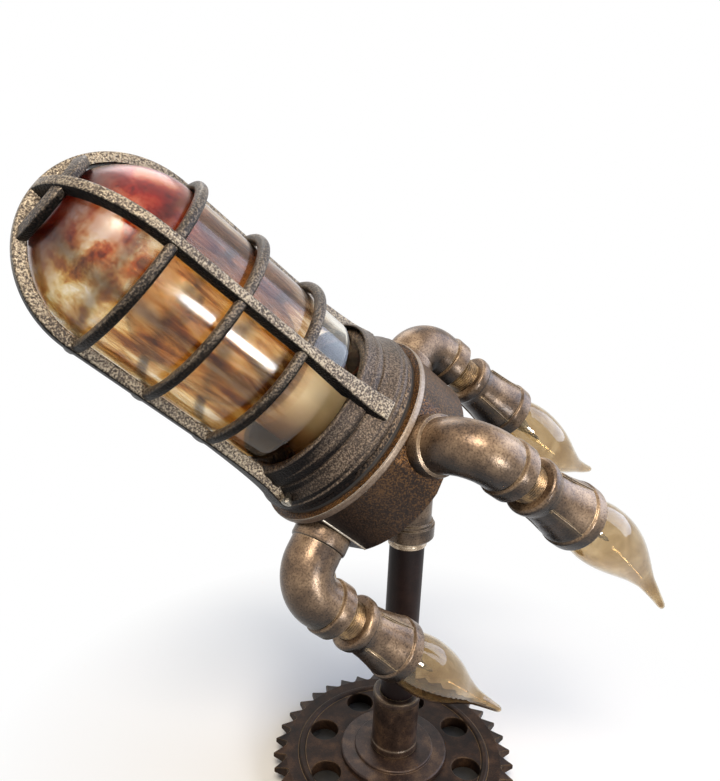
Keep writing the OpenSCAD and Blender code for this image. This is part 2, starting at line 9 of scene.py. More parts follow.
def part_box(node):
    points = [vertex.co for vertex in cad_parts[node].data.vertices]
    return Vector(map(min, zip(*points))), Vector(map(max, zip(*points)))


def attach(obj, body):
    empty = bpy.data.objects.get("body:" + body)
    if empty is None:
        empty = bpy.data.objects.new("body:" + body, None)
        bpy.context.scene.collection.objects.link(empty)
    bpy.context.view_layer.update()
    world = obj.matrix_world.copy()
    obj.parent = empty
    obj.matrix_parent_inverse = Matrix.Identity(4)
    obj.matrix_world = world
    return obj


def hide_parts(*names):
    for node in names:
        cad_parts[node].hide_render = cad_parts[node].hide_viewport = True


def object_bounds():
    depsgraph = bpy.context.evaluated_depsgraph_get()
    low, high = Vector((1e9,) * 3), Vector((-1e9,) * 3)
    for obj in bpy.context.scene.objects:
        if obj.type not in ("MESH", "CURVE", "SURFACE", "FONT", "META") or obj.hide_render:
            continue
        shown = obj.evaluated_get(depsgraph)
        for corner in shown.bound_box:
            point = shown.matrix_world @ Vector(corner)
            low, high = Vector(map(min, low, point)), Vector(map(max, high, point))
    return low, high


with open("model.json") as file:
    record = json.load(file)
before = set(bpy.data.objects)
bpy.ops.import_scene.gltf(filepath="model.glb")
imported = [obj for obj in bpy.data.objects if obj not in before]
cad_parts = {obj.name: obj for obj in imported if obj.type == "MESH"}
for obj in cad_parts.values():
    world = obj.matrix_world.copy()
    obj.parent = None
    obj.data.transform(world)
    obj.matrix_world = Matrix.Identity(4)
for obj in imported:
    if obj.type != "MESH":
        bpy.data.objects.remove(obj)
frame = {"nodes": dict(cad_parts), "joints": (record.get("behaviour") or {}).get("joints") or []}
cad_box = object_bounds()

# Camera
# It stands low on the near side of the nose, close enough for strong perspective.
# Its place comes from the hoops, the rim, the pole and the sprocket in the photograph.
mm = 0.001
look_at = Vector((-35.5, 0, 265)) * mm
camera_distance = 399.9 * mm
camera_azimuth = math.radians(-23.2)
camera_elevation = math.radians(16.1)
camera_roll = math.radians(2.6)
focal_px = 729.3
image_w = 720

back = Vector((
    math.sin(camera_azimuth) * math.cos(camera_elevation),
    -math.cos(camera_azimuth) * math.cos(camera_elevation),
    math.sin(camera_elevation),
))
level = (-back).cross(Vector((0, 0, 1))).normalized()
upright = level.cross(-back)
right = level * math.cos(camera_roll) + upright * math.sin(camera_roll)
up = upright * math.cos(camera_roll) - level * math.sin(camera_roll)
lens = bpy.data.cameras.new("photo_camera")
lens.sensor_fit = "HORIZONTAL"
lens.sensor_width = 36
lens.lens = focal_px / image_w * lens.sensor_width
camera = bpy.data.objects.new("photo_camera", lens)
camera.matrix_world = Matrix((right, up, back)).transposed().to_4x4()
camera.matrix_world.translation = look_at + back * camera_distance
scene = bpy.context.scene
scene.collection.objects.link(camera)
scene.camera = camera


# Feet
# Four moulded rubber bumpers stuck under the sprocket. They are soft black rubber with a
# dull, slightly dusty skin.
def linear(code):
    """Linear colour of an sRGB hex value such as #7a5a3c."""
    parts = [int(code[i:i + 2], 16) / 255 for i in (1, 3, 5)]
    return [p / 12.92 if p <= 0.04045 else ((p + 0.055) / 1.055) ** 2.4 for p in parts] + [1.0]


def add(tree, kind, inputs=None, stops=(), **settings):
    """Adds a node with its properties and colour stops, and its inputs by name or number."""
    node = tree.nodes.new(kind)
    for name, value in settings.items():
        setattr(node, name, value)
    for name, value in (inputs or {}).items():
        if isinstance(value, bpy.types.NodeSocket):
            tree.links.new(value, node.inputs[name])
        else:
            node.inputs[name].default_value = value
    if stops:
        elements = node.color_ramp.elements
        while len(elements) < len(stops):
            elements.new(0.5)
        for element, (position, code) in zip(elements, stops):
            element.position = position
            element.color = linear(code)
    return node


def new_finish(name, **sockets):
    """A material with one principled shader. Returns it with its tree, shader and coordinates."""
    material = bpy.data.materials.new(name)
    material.use_nodes = True
    tree = material.node_tree
    shader = tree.nodes["Principled BSDF"]
    for socket, value in sockets.items():
        shader.inputs[socket.replace("_", " ")].default_value = value
    place = add(tree, "ShaderNodeTexCoord").outputs["Object"]
    return material, tree, shader, place


def per_mm(size):
    """Texture scale that gives features of a size in millimetres on Object coordinates."""
    return 1 / (size * mm)


def mesh_of(bm, sharp=35):
    """Plain mesh of a bmesh, with outward faces and smooth shading between hard edges."""
    bmesh.ops.remove_doubles(bm, verts=bm.verts, dist=1e-6)
    bmesh.ops.recalc_face_normals(bm, faces=bm.faces)
    mesh = bpy.data.meshes.new("mesh")
    bm.to_mesh(mesh)
    bm.free()
    mesh.shade_smooth()
    mesh.set_sharp_from_angle(angle=math.radians(sharp))
    return mesh


def piece(name, mesh, finish, body, slot, *nodes):
    """Links a finished mesh as a piece that rides on a body and stands for CAD nodes."""
    mesh.name = name
    mesh.materials.clear()
    mesh.materials.append(finish)
    obj = bpy.data.objects.new(name, mesh)
    scene.collection.objects.link(obj)
    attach(obj, body)
    if nodes:
        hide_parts(*nodes)


def cad_copy(node, sharp=35):
    """A mesh copy of a CAD node, with its loose triangles merged."""
    bm = bmesh.new()
    bm.from_mesh(frame["nodes"][node].data)
    bmesh.ops.remove_doubles(bm, verts=bm.verts, dist=2e-6)
    return mesh_of(bm, sharp)


def dull_black(name):
    """Dull black for moulded rubber and for the black ring of painted shade under the sprocket, with a faint
    grey bloom and a fine grain.
    """
    material, tree, shader, place = new_finish(name, Roughness=0.72)
    bloom = add(tree, "ShaderNodeTexNoise", {"Vector": place, "Scale": per_mm(7), "Detail": 4})
    tone = add(tree, "ShaderNodeValToRGB", {"Fac": bloom.outputs["Fac"]},
               [(0.3, "#141312"), (0.75, "#2a2826")])
    grain = add(tree, "ShaderNodeTexNoise", {"Vector": place, "Scale": per_mm(0.5)})
    bump = add(tree, "ShaderNodeBump",
               {"Height": grain.outputs["Fac"], "Strength": 0.2, "Distance": 0.1 * mm})
    tree.links.new(tone.outputs["Color"], shader.inputs["Base Color"])
    tree.links.new(bump.outputs["Normal"], shader.inputs["Normal"])
    return material


black_rubber = dull_black("black_rubber")
piece("rubber_bumpers", cad_copy("foot_pads"), black_rubber, "base", "rubber_foot", "foot_pads")


# Sprocket
# A chain sprocket laid flat as the foot. A black ring under its web shows black through the web's holes,
# as painted shade. It is steel plate with cut teeth, a turned ridge and drilled holes, browned and
# lacquered, with bare metal showing on the tooth tips.
def eased(points, cut, steps=3):
    """A closed outline with each corner rounded off."""
    result = []
    for i in range(len(points)):
        before, corner, after = (Vector(points[k % len(points)]) for k in (i - 1, i, i + 1))
        reach = min(cut, (before - corner).length * 0.45, (after - corner).length * 0.45)
        start = corner + (before - corner).normalized() * reach
        end = corner + (after - corner).normalized() * reach
        for k in range(steps + 1):
            t = k / steps
            result.append(start * (1 - t) ** 2 + corner * 2 * t * (1 - t) + end * t ** 2)
    return result


def straight(distance):
    """A line up the Z axis: its point and direction at a distance."""
    return Vector((0, 0, distance)), Vector((0, 0, 1))


def swept(line, outline, closed=False, sides=96):
    """Round rings along a line, as a bmesh. The outline holds (radius, distance) in millimetres."""
    bm = bmesh.new()
    rings = []
    for radius, distance in outline:
        centre, along = line(distance)
        across = Vector((0, 1, 0))
        other = across.cross(along)
        count = sides if radius > 0.001 else 1
        ring = []
        for k in range(count):
            turn = 2 * math.pi * k / sides
            way = other * math.cos(turn) + across * math.sin(turn)
            ring.append(bm.verts.new((centre + way * radius) * mm))
        rings.append(ring)
    for low, high in zip(rings, rings[1:] + (rings[:1] if closed else [])):
        for k in range(sides):
            corners = [low[k % len(low)], low[(k + 1) % sides % len(low)],
                       high[(k + 1) % sides % len(high)], high[k % len(high)]]
            corners = list(dict.fromkeys(corners))
            if len(corners) > 2:
                bm.faces.new(corners)
    return bm


def turned(outline, cut, sides=96, sharp=35, steps=3):
    """A mesh turned about the Z axis from a closed outline with eased corners."""
    return mesh_of(swept(straight, eased(outline, cut, steps), closed=True, sides=sides), sharp)


def edge_wear(tree, reach, gain):
    """How near a point is to an edge: 0 on smooth stretches and up to 1 on edges."""
    bent = add(tree, "ShaderNodeBevel", {"Radius": reach * mm}, samples=6)
    flat = add(tree, "ShaderNodeNewGeometry")
    same = add(tree, "ShaderNodeVectorMath", {0: bent.outputs["Normal"], 1: flat.outputs["Normal"]},
               operation="DOT_PRODUCT")
    bare = add(tree, "ShaderNodeMath", {0: same.outputs["Value"], 1: -gain, 2: gain},
               operation="MULTIPLY_ADD", use_clamp=True)
    return bare.outputs["Value"]


def worn_metal(name, tones, edge, patch, grain, wear_and_light, metallic, rough, gloss=0.5, below=None):
    """Lacquered metal, its lacquer worn back by hand: patches of three tones, bare edges and a cast grain.

    Patch, grain and the reach of the worn edges are sizes in millimetres. The grain is drawn coarser than
    a real one, so that it shows. With tones for below, the metal is painted darker where the piece looks
    down, as painted shade, and its bare edges fade where it looks down, so their paleness is partly a
    painted highlight."""
    material, tree, shader, place = new_finish(name, Metallic=metallic, Specular_IOR_Level=gloss)
    patches = add(tree, "ShaderNodeTexNoise",
                  {"Vector": place, "Scale": per_mm(patch), "Detail": 5, "Roughness": 0.6})
    fine = add(tree, "ShaderNodeTexNoise", {"Vector": place, "Scale": per_mm(grain), "Detail": 2})
    fine_share = 0.35
    mottle = add(tree, "ShaderNodeMath",
                 {0: fine.outputs["Fac"], 1: fine_share, 2: patches.outputs["Fac"]},
                 operation="MULTIPLY_ADD").outputs["Value"]
    spread = (0.5, 0.68, 0.86)
    body = add(tree, "ShaderNodeValToRGB", {"Fac": mottle}, list(zip(spread, tones))).outputs["Color"]
    bare = edge_wear(tree, wear_and_light, 3.5)
    # Painted shade: faces that look down take the darker tones, and their edges stay dark.
    if below:
        dark = add(tree, "ShaderNodeValToRGB", {"Fac": mottle}, list(zip(spread, below)))
        lit_from_above = add(tree, "ShaderNodeAttribute", attribute_name="wear_and_light").outputs["Fac"]
        body = add(tree, "ShaderNodeMix", {"Factor": lit_from_above, 6: dark.outputs["Color"], 7: body},
                   data_type="RGBA").outputs[2]
        bare = add(tree, "ShaderNodeMath", {0: bare, 1: lit_from_above}, operation="MULTIPLY").outputs["Value"]
    broken = add(tree, "ShaderNodeMath", {0: bare, 1: mottle}, operation="MULTIPLY", use_clamp=True)
    colour = add(tree, "ShaderNodeMix", {"Factor": broken.outputs["Value"], 6: body, 7: linear(edge)},
                 data_type="RGBA")
    sheen = add(tree, "ShaderNodeMapRange",
                {"Value": fine.outputs["Fac"], "To Min": rough - 0.1, "To Max": rough + 0.14})
    bump = add(tree, "ShaderNodeBump",
               {"Height": fine.outputs["Fac"], "Strength": 0.35, "Distance": 0.25 * mm})
    tree.links.new(colour.outputs[2], shader.inputs["Base Color"])
    tree.links.new(sheen.outputs["Result"], shader.inputs["Roughness"])
    tree.links.new(bump.outputs["Normal"], shader.inputs["Normal"])
    return material


plate_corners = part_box("sprocket_base")
sprocket_low = plate_corners[0].z / mm
plate_t = 8
plate_top = sprocket_low + plate_t
tip_r = (plate_corners[1].x - plate_corners[0].x) / mm / 2
root_r = 0.9 * tip_r
tooth_count = 38
ridge_r = 0.765 * tip_r
ridge_top = plate_top + 1.6
web_hole_count = 8
web_hole_pitch = 0.617 * tip_r
web_hole_r = 0.117 * tip_r
web_hole_turn = 4.5
shank_r = 12.6
shade_ring_in_r, shade_ring_out_r, shade_ring_t = 24, web_hole_pitch + web_hole_r + 0.8, 1.2

sprocket_bronze = worn_metal("sprocket_bronze", ("#150e0b", "#291c15", "#463224"), "#a88a62",
                             patch=14, grain=0.9, wear_and_light=0.7, metallic=0.3, rough=0.42, gloss=0.15)
black_shade_ring = dull_black("black_shade_ring")


def toothed_ring():
    """The sprocket's rim as a bmesh: flat inside the teeth, and teeth that thin out to their tips."""
    bm = bmesh.new()
    thin, chamfer, pitch = 0.6, 0.6, 2 * math.pi / tooth_count
    flat = plate_t / 2
    flank = [(root_r, -0.5), (root_r + 0.5, -0.36), (root_r + 2.4, -0.26), (tip_r - 2.6, -0.12),
             (tip_r, -0.02)]
    flank += [(radius, -share) for radius, share in flank[:0:-1]]
    rows = []
    for k in range(tooth_count):
        for radius, share in flank:
            turn = (k + share) * pitch
            half = flat * (1 - thin * max(0, radius - root_r - 0.5) / (tip_r - root_r))
            section = [(ridge_r, flat), (root_r - 0.7, flat), (radius - chamfer, half),
                       (radius, half - chamfer)]
            section += [(r, -z) for r, z in section[::-1]]
            rows.append([bm.verts.new(Vector((r * math.cos(turn), r * math.sin(turn), z)) * mm)
                         for r, z in section])
    for row, after in zip(rows, rows[1:] + rows[:1]):
        for i in range(len(row)):
            k = (i + 1) % len(row)
            bm.faces.new([row[i], after[i], after[k], row[k]])
    return bm


def web_plate():
    """The sprocket's web with its round holes, thickened and bevelled, as a mesh."""
    web = bpy.data.curves.new("sprocket_web", "CURVE")
    web.dimensions = "2D"
    web.fill_mode = "BOTH"
    bevel = 0.7
    web.extrude = (plate_t / 2 - bevel) * mm
    web.bevel_depth = bevel * mm
    web.bevel_resolution = 2
    web.offset = -bevel * mm
    circles = [(0, 0, ridge_r + 0.6, 96), (0, 0, shank_r, 48)]
    for k in range(web_hole_count):
        turn = math.radians(web_hole_turn + 360 / web_hole_count * k)
        circles.append((web_hole_pitch * math.cos(turn), web_hole_pitch * math.sin(turn), web_hole_r, 48))
    for x, y, radius, count in circles:
        spline = web.splines.new("POLY")
        spline.points.add(count - 1)
        spline.use_cyclic_u = True
        for k, point in enumerate(spline.points):
            turn = 2 * math.pi * k / count
            point.co = ((x + radius * math.cos(turn)) * mm, (y + radius * math.sin(turn)) * mm, 0, 1)
    holder = bpy.data.objects.new("sprocket_web", web)
    scene.collection.objects.link(holder)
    bpy.context.view_layer.update()
    made = holder.evaluated_get(bpy.context.evaluated_depsgraph_get())
    mesh = bpy.data.meshes.new_from_object(made)
    bpy.data.objects.remove(holder)
    return mesh


ridge_outline = [(ridge_r - 2.4, plate_top - 1), (ridge_r - 2.4, plate_top), (ridge_r - 1.2, ridge_top),
                 (ridge_r + 1.2, ridge_top), (ridge_r + 2.4, plate_top), (ridge_r + 2.4, plate_top - 1)]
plate = toothed_ring()
plate.from_mesh(web_plate())
bmesh.ops.translate(plate, verts=plate.verts, vec=(0, 0, (plate_top - plate_t / 2) * mm))
plate.from_mesh(turned(ridge_outline, 0.6))
piece("sprocket_plate", mesh_of(plate, 8), sprocket_bronze, "base", "sprocket", "sprocket_base")
# Painted shade: a black ring under the web, wide enough to fill every web hole with black.
shade_ring_outline = [(shade_ring_in_r, sprocket_low - shade_ring_t), (shade_ring_out_r, sprocket_low - shade_ring_t),
                (shade_ring_out_r, sprocket_low), (shade_ring_in_r, sprocket_low)]
piece("shade_ring", turned(shade_ring_outline, 0.3), black_shade_ring, "base", "rubber_foot")


# Hub, nut and bush
# A turned steel hub is drawn down on the plate by a thin hexagon nut from below. A short nipple in
# it takes the coupling, and a rubber bush in its lower end takes the lead.
def dress(node, finish):
    """Gives a CAD node that keeps its own shape a better finish."""
    for slot in frame["nodes"][node].material_slots:
        slot.material = finish


pipe_r = 10.65
pipe_bore_r = 7.85
seat_gap = 0.04
shank_low = 4.2
base_hub_r = 0.44 * tip_r
base_ring_r = 0.325 * tip_r
hub_seat_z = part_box("base_nipple")[0].z / mm
hub_top = plate_top + 5

hub_bronze = worn_metal("hub_bronze", ("#1c1411", "#382a24", "#5a4636"), "#b08c60",
                        patch=12, grain=0.8, wear_and_light=0.6, metallic=0.35, rough=0.36, gloss=0.3)
# Bare turned steel is grey, with a soft shine.
bare_steel = worn_metal("bare_steel", ("#5c5852", "#8a847a", "#a9a398"), "#cfc8ba",
                        patch=6, grain=0.5, wear_and_light=0.4, metallic=0.9, rough=0.34)
hub_outline = [(pipe_bore_r, shank_low), (shank_r, shank_low), (shank_r, plate_top),
               (base_hub_r, plate_top), (base_hub_r, plate_top + 2.2), (base_hub_r - 0.8, plate_top + 3),
               (base_ring_r, plate_top + 3), (base_ring_r, plate_top + 4.4), (base_ring_r - 0.6, hub_top),
               (pipe_r + seat_gap, hub_top), (pipe_r + seat_gap, hub_seat_z), (pipe_bore_r, hub_seat_z)]
piece("turned_hub", turned(hub_outline, 0.35), hub_bronze, "base", "hub", "base_hub")
piece("hexagon_nut", cad_copy("base_locknut", 25), bare_steel, "base", "nut", "base_locknut")
dress("base_nipple", bare_steel)
piece("lead_bush", cad_copy("cord_grommet"), black_rubber, "base", "grommet", "cord_grommet")

# Coupling
# A pipe coupling with a band at each end. It is turned iron, browned, with the bands' edges worn back
# to a bright brass colour, pale and wide enough to be also a painted highlight.
coupling_bore_r = pipe_r + 0.06
coupling_r = pipe_r + 3.9
coupling_band_r = pipe_r + 4.5
coupling_top = hub_top + 41

coupling_brown = worn_metal("coupling_brown", ("#241a15", "#3e2f27", "#614b3a"), "#f0d6a4",
                            patch=10, grain=0.8, wear_and_light=2.0, metallic=0.35, rough=0.3, gloss=0.35)
coupling_outline = [(coupling_bore_r, hub_top), (coupling_band_r - 0.5, hub_top),
                    (coupling_band_r, hub_top + 0.5), (coupling_band_r, hub_top + 4.5),
                    (coupling_r, hub_top + 5.4), (coupling_r, coupling_top - 5.4),
                    (coupling_band_r, coupling_top - 4.5), (coupling_band_r, coupling_top - 0.5),
                    (coupling_band_r - 0.5, coupling_top), (coupling_bore_r, coupling_top)]
piece("coupling", turned(coupling_outline, 0.3), coupling_brown, "base", "coupling", "base_coupling")

# Pole and ring
# Half-inch steel pipe with a satin brown-black lacquer. A bright turned ring locks it under
# the stand elbow.
pole_low, pole_high = (corner.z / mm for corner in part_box("pole"))
ring_low, ring_high = (corner.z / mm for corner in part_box("pole_ring"))
ring_bore_r, ring_r = pipe_r + 0.05, pipe_r + 1.1

pole_brown = worn_metal("pole_brown", ("#171110", "#211817", "#2c201d"), "#4d3a2a",
                        patch=25, grain=0.6, wear_and_light=0.5, metallic=0.0, rough=0.42, gloss=0.12)
pole_outline = [(pipe_bore_r, pole_low), (pipe_r, pole_low), (pipe_r, pole_high), (pipe_bore_r, pole_high)]
piece("pipe_pole", turned(pole_outline, 0.4), pole_brown, "stand", "pole", "pole")
bright_ring = worn_metal("bright_ring", ("#8f7c66", "#b9a58d", "#d6c6ae"), "#efe2cc",
                         patch=4, grain=0.5, wear_and_light=0.4, metallic=0.5, rough=0.26)
ring_outline = [(ring_bore_r, ring_low), (ring_r, ring_low), (ring_r, ring_low + 2),
                (ring_r - 0.3, ring_low + 2.4), (ring_r, ring_low + 2.8), (ring_r, ring_high),
                (ring_bore_r, ring_high)]
piece("lock_ring", turned(ring_outline, 0.25), bright_ring, "stand", "ring", "pole_ring")


# Stand elbow
# A banded pipe elbow of malleable iron. It is cast, so its skin is slightly rough, and it has an
# antique bronze lacquer that is worn back to gold on the edges of its bands. It is painted near black
# where it looks down, as painted shade, and the gold edges fade where it looks down, partly as a
# painted highlight.
def bent(start, ahead, aside, radius, angle):
    """A line that runs ahead to the start, turns aside on a radius and runs on; 0 is the start."""
    def line(distance):
        turn = min(max(0, distance) / radius, angle)
        along = ahead * math.cos(turn) + aside * math.sin(turn)
        point = start + (ahead * math.sin(turn) + aside * (1 - math.cos(turn))) * radius
        return point + along * (min(0, distance) + max(0, distance - radius * angle)), along
    return line


def mark_painted_light(mesh, low=-0.22, high=0.28):
    """Marks how far each face looks up, for painted light where it looks up and painted shade where it looks
    down.
    """
    marks = mesh.attributes.new("wear_and_light", "FLOAT", "FACE")
    for face, mark in zip(mesh.polygons, marks.data):
        mark.value = min(1, max(0, (face.normal.z - low) / (high - low)))
    return mesh


joints = {joint["name"]: joint for joint in frame["joints"]}
nose = Vector(joints["guard_turn"]["axis"]).normalized()
rim_centre = Vector(joints["guard_turn"]["pos_m"])
side = Vector((0, 1, 0))
rocket = Matrix((side.cross(nose), side, nose)).transposed().to_4x4()
rocket.translation = rim_centre
fitting_r = pipe_r + 2.8
fitting_bead_r = fitting_r + 1.1
band_r = pipe_r + 5.1
fitting_lit_range = (-0.4, 0.7)
stand_bend_r = 22
stand_turn = math.acos(nose.z)
stand_arc = stand_bend_r * stand_turn
stand_tangent = stand_bend_r * math.tan(stand_turn / 2)
rim_to_bend = rim_centre.x / nose.x / mm
bend_start = rim_centre.z / mm - rim_to_bend * nose.z - stand_tangent
back_hub_s = -45.5
stand_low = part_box("stand_elbow")[0].z / mm - bend_start
stand_end = stand_arc + rim_to_bend - stand_tangent + back_hub_s

# Painted shade: the tones for below are for faces that look down.
fitting_bronze = worn_metal("fitting_bronze", ("#4c3c30", "#7d654e", "#aa8f72"), "#e6d0a6",
                            patch=16, grain=1.0, wear_and_light=0.9, metallic=0.4, rough=0.28, gloss=0.5,
                            below=("#0b0807", "#1b1410", "#382b22"))
stand_line = bent(Vector((0, 0, bend_start)), Vector((0, 0, 1)), Vector((-1, 0, 0)),
                  stand_bend_r, stand_turn)
stand_outline = [(0, stand_low), (band_r - 0.6, stand_low), (band_r, stand_low + 0.8),
                 (band_r, stand_low + 8.4), (fitting_bead_r, stand_low + 9),
                 (fitting_bead_r, stand_low + 10.6), (fitting_r, stand_low + 11.2)]
stand_outline += [(fitting_r, stand_arc * k / 16) for k in range(17)]
stand_outline += [(fitting_r, stand_arc + 0.4), (band_r, stand_arc + 1), (band_r, stand_end), (0, stand_end)]
# Painted light and shade on the stand elbow, by how far each face looks up.
stand_elbow = mark_painted_light(mesh_of(swept(stand_line, stand_outline)), *fitting_lit_range)
piece("stand_elbow_cast", stand_elbow, fitting_bronze, "stand", "fitting", "stand_elbow")
piece("stand_nipple_steel", cad_copy("stand_nipple"), bare_steel, "stand", "nut", "stand_nipple")


# Junction box
# A round cast aluminium box with a flat at each hub and a machined rim. It has a hammered bronze
# paint, dark brown in the hollows and gold brown on the high spots, painted paler where it looks up and
# near black where it looks down, as painted light and shade. Its edges are pale even where they look
# down, as worn spots and also a painted highlight. Pale metal beads on the low flat's edges are bare metal
# and also a painted highlight.
def hammered_paint(name, shaded, lit_from_above, edge, spot, depth, metallic, rough, gloss=0.5, low_edge=0.0):
    """Hammered paint on a casting: flecks in a darker ground, painted paler where it looks up and darker
    where it looks down, as painted light and shade.

    Spot is the size of the flecks in millimetres, and low_edge how bare edges are that look down. Faces that
    look down are also made less glossy, a painted shade on their reflections."""
    material, tree, shader, place = new_finish(name, Metallic=metallic)
    stipple = add(tree, "ShaderNodeTexNoise", {"Vector": place, "Scale": per_mm(spot), "Detail": 2})
    fine = add(tree, "ShaderNodeTexNoise", {"Vector": place, "Scale": per_mm(spot * 0.5), "Detail": 2})
    broad = add(tree, "ShaderNodeTexNoise", {"Vector": place, "Scale": per_mm(24), "Detail": 3})
    broad_share = 0.3
    tone = add(tree, "ShaderNodeMath",
               {0: broad.outputs["Fac"], 1: broad_share, 2: stipple.outputs["Fac"]},
               operation="MULTIPLY_ADD")
    spread = (0.54, 0.65, 0.78)
    low, high = (add(tree, "ShaderNodeValToRGB", {"Fac": tone.outputs["Value"]}, list(zip(spread, tones)))
                 for tones in (shaded, lit_from_above))
    # Painted light and shade: the mark picks the lit tones where a face looks up and the shaded tones where
    # it looks down.
    wear_and_light = add(tree, "ShaderNodeAttribute", attribute_name="wear_and_light").outputs["Fac"]
    body = add(tree, "ShaderNodeMix",
               {"Factor": wear_and_light, 6: low.outputs["Color"], 7: high.outputs["Color"]}, data_type="RGBA")
    reach = add(tree, "ShaderNodeMapRange", {"Value": wear_and_light, "To Min": low_edge, "To Max": 1.0})
    bare = add(tree, "ShaderNodeMath", {0: edge_wear(tree, 0.8, 3.0), 1: reach.outputs["Result"]},
               operation="MULTIPLY")
    colour = add(tree, "ShaderNodeMix", {"Factor": bare.outputs[0], 6: body.outputs[2], 7: linear(edge)},
                 data_type="RGBA")
    sheen = add(tree, "ShaderNodeMapRange",
                {"Value": fine.outputs["Fac"], "To Min": rough - 0.12, "To Max": rough + 0.12})
    # Painted shade on reflections: faces that look down are made less glossy.
    shine = add(tree, "ShaderNodeMapRange", {"Value": wear_and_light, "To Min": 0.08, "To Max": gloss})
    bump = add(tree, "ShaderNodeBump",
               {"Height": stipple.outputs["Fac"], "Strength": depth, "Distance": 0.6 * mm})
    tree.links.new(colour.outputs[2], shader.inputs["Base Color"])
    tree.links.new(sheen.outputs["Result"], shader.inputs["Roughness"])
    tree.links.new(shine.outputs["Result"], shader.inputs["Specular IOR Level"])
    tree.links.new(bump.outputs["Normal"], shader.inputs["Normal"])
    return material


rim_r = 57.5
drum_r, flat_r, box_depth = rim_r - 1, rim_r - 4, 37.5
socket_mouth = 80

box_bronze = hammered_paint("box_bronze", ("#0c0909", "#181212", "#2b201a"),
                            ("#2a1b11", "#563b24", "#886137"), "#e2dacb", spot=0.9, depth=0.8,
                            metallic=0.2, rough=0.38, gloss=0.25, low_edge=1.0)
# The machined rim is pale and even, with hardly any stipple, and painted paler where it looks up, as painted
# light.
rim_metal = hammered_paint("rim_metal", ("#5a4c42", "#66574c", "#716256"),
                           ("#877666", "#948372", "#a3927f"), "#b8a893", spot=1.0, depth=0.15,
                           metallic=0.3, rough=0.34)
# Bare aluminium is pale, with a sharp shine. The beads are put only where a highlight line falls, so their
# paleness is also a painted highlight.
bare_edge_highlight = worn_metal("bare_edge_highlight", ("#8f8578", "#b5ab9c", "#d0c7b9"), "#efe8dc",
                       patch=8, grain=0.8, wear_and_light=0.4, metallic=0.9, rough=0.3)


def thruster(k):
    """Frame where a thruster's axes cross, and its distance from the rocket's axis.

    X points away from the rocket's axis, and Z along the bulb."""
    bulb = joints[f"flame_bulb_{k}_turn"]
    out = Vector(bulb["axis"]).normalized()
    corner = Vector(bulb["pos_m"]) - out * socket_mouth * mm
    radial = corner - rim_centre
    radial -= nose * radial.dot(nose)
    away = radial.normalized()
    place = Matrix((away, out.cross(away), out)).transposed().to_4x4()
    place.translation = corner
    return place, radial.length / mm


def hub_turn(k):
    """Angle of a thruster's hub about the rocket's axis."""
    way = rocket.inverted() @ thruster(k)[0].translation
    return math.atan2(way.y, way.x)


def flat_edges():
    """The two long edges of a hub's flat as thin beads of pale bare metal, which also stand in for a
    highlight line.
    """
    low, high, bead_r, sunk = -box_depth + 0.3, -5.2, 0.75, 0.25
    half = math.sqrt(drum_r ** 2 - flat_r ** 2)
    bm = bmesh.new()
    for y in (-half, half):
        bead = turned([(0, low), (bead_r, low), (bead_r, high), (0, high)], 0.5, sides=12)
        bead.transform(Matrix.Translation(Vector((flat_r - sunk, y, 0)) * mm))
        bm.from_mesh(bead)
    return mesh_of(bm)


rim_outline = [(rim_r - 1.2, -4.2), (rim_r - 0.1, -4), (rim_r + 0.25, -3.4), (rim_r + 0.25, -0.9),
               (rim_r - 0.1, -0.3), (rim_r - 1.2, -0.2)]
rim_band = turned(rim_outline, 0.3, sides=160)
rim_band.transform(rocket)
# Painted light and shade: the rim, the box and the plug are paler where they look up and darker where they
# look down.
piece("rim_band", mark_painted_light(rim_band), rim_metal, "stand", "box")
cast_box = mark_painted_light(cad_copy("junction_box", 28), -0.5, 0.3)
piece("cast_box", cast_box, box_bronze, "stand", "box", "junction_box")
# Painted highlight: pale beads along the low flat's edges only, where a highlight line falls.
low_edges = flat_edges()
low_edges.transform(rocket @ Matrix.Rotation(hub_turn(3), 4, "Z"))
piece("bare_edges_highlight", low_edges, bare_edge_highlight, "stand", "box")
blank_plug = mark_painted_light(cad_copy("hub_plug", 28))
piece("blank_plug", blank_plug, fitting_bronze, "stand", "fitting", "hub_plug")


# Wiring and plates inside the box
# A moulded terminal block, sleeved leads, a dull zinc plate and black and red gaskets. They are
# closed in, and only the plate shows, through the globe.
def plain_finish(name, dark, light, rough, metallic=0.0, patch=5, gloss=0.5):
    """A smooth finish with a slight change of tone over patches of a size in millimetres."""
    material, tree, shader, place = new_finish(
        name, Roughness=rough, Metallic=metallic, Specular_IOR_Level=gloss)
    cloud = add(tree, "ShaderNodeTexNoise", {"Vector": place, "Scale": per_mm(patch), "Detail": 4})
    tone = add(tree, "ShaderNodeValToRGB", {"Fac": cloud.outputs["Fac"]}, [(0.3, dark), (0.7, light)])
    tree.links.new(tone.outputs["Color"], shader.inputs["Base Color"])
    return material


# Mouldings, sleeves and silicone are smooth and satin. The zinc is dull and dark with age.
moulded_cream = plain_finish("moulded_cream", "#cfc6b2", "#dfd8c8", rough=0.45)
grey_sleeve = plain_finish("grey_sleeve", "#323234", "#434346", rough=0.5)
dull_zinc = plain_finish("dull_zinc", "#332b25", "#4c4238", rough=0.45, metallic=0.3)
red_silicone = plain_finish("red_silicone", "#5e2418", "#74301f", rough=0.5)
dress("terminal_block", moulded_cream)
for node in ("supply_lead", "lead_1", "lead_2", "lead_3"):
    dress(node, grey_sleeve)
dress("lampholder_plate", dull_zinc)
dress("box_gasket", black_rubber)
dress("globe_gasket", red_silicone)

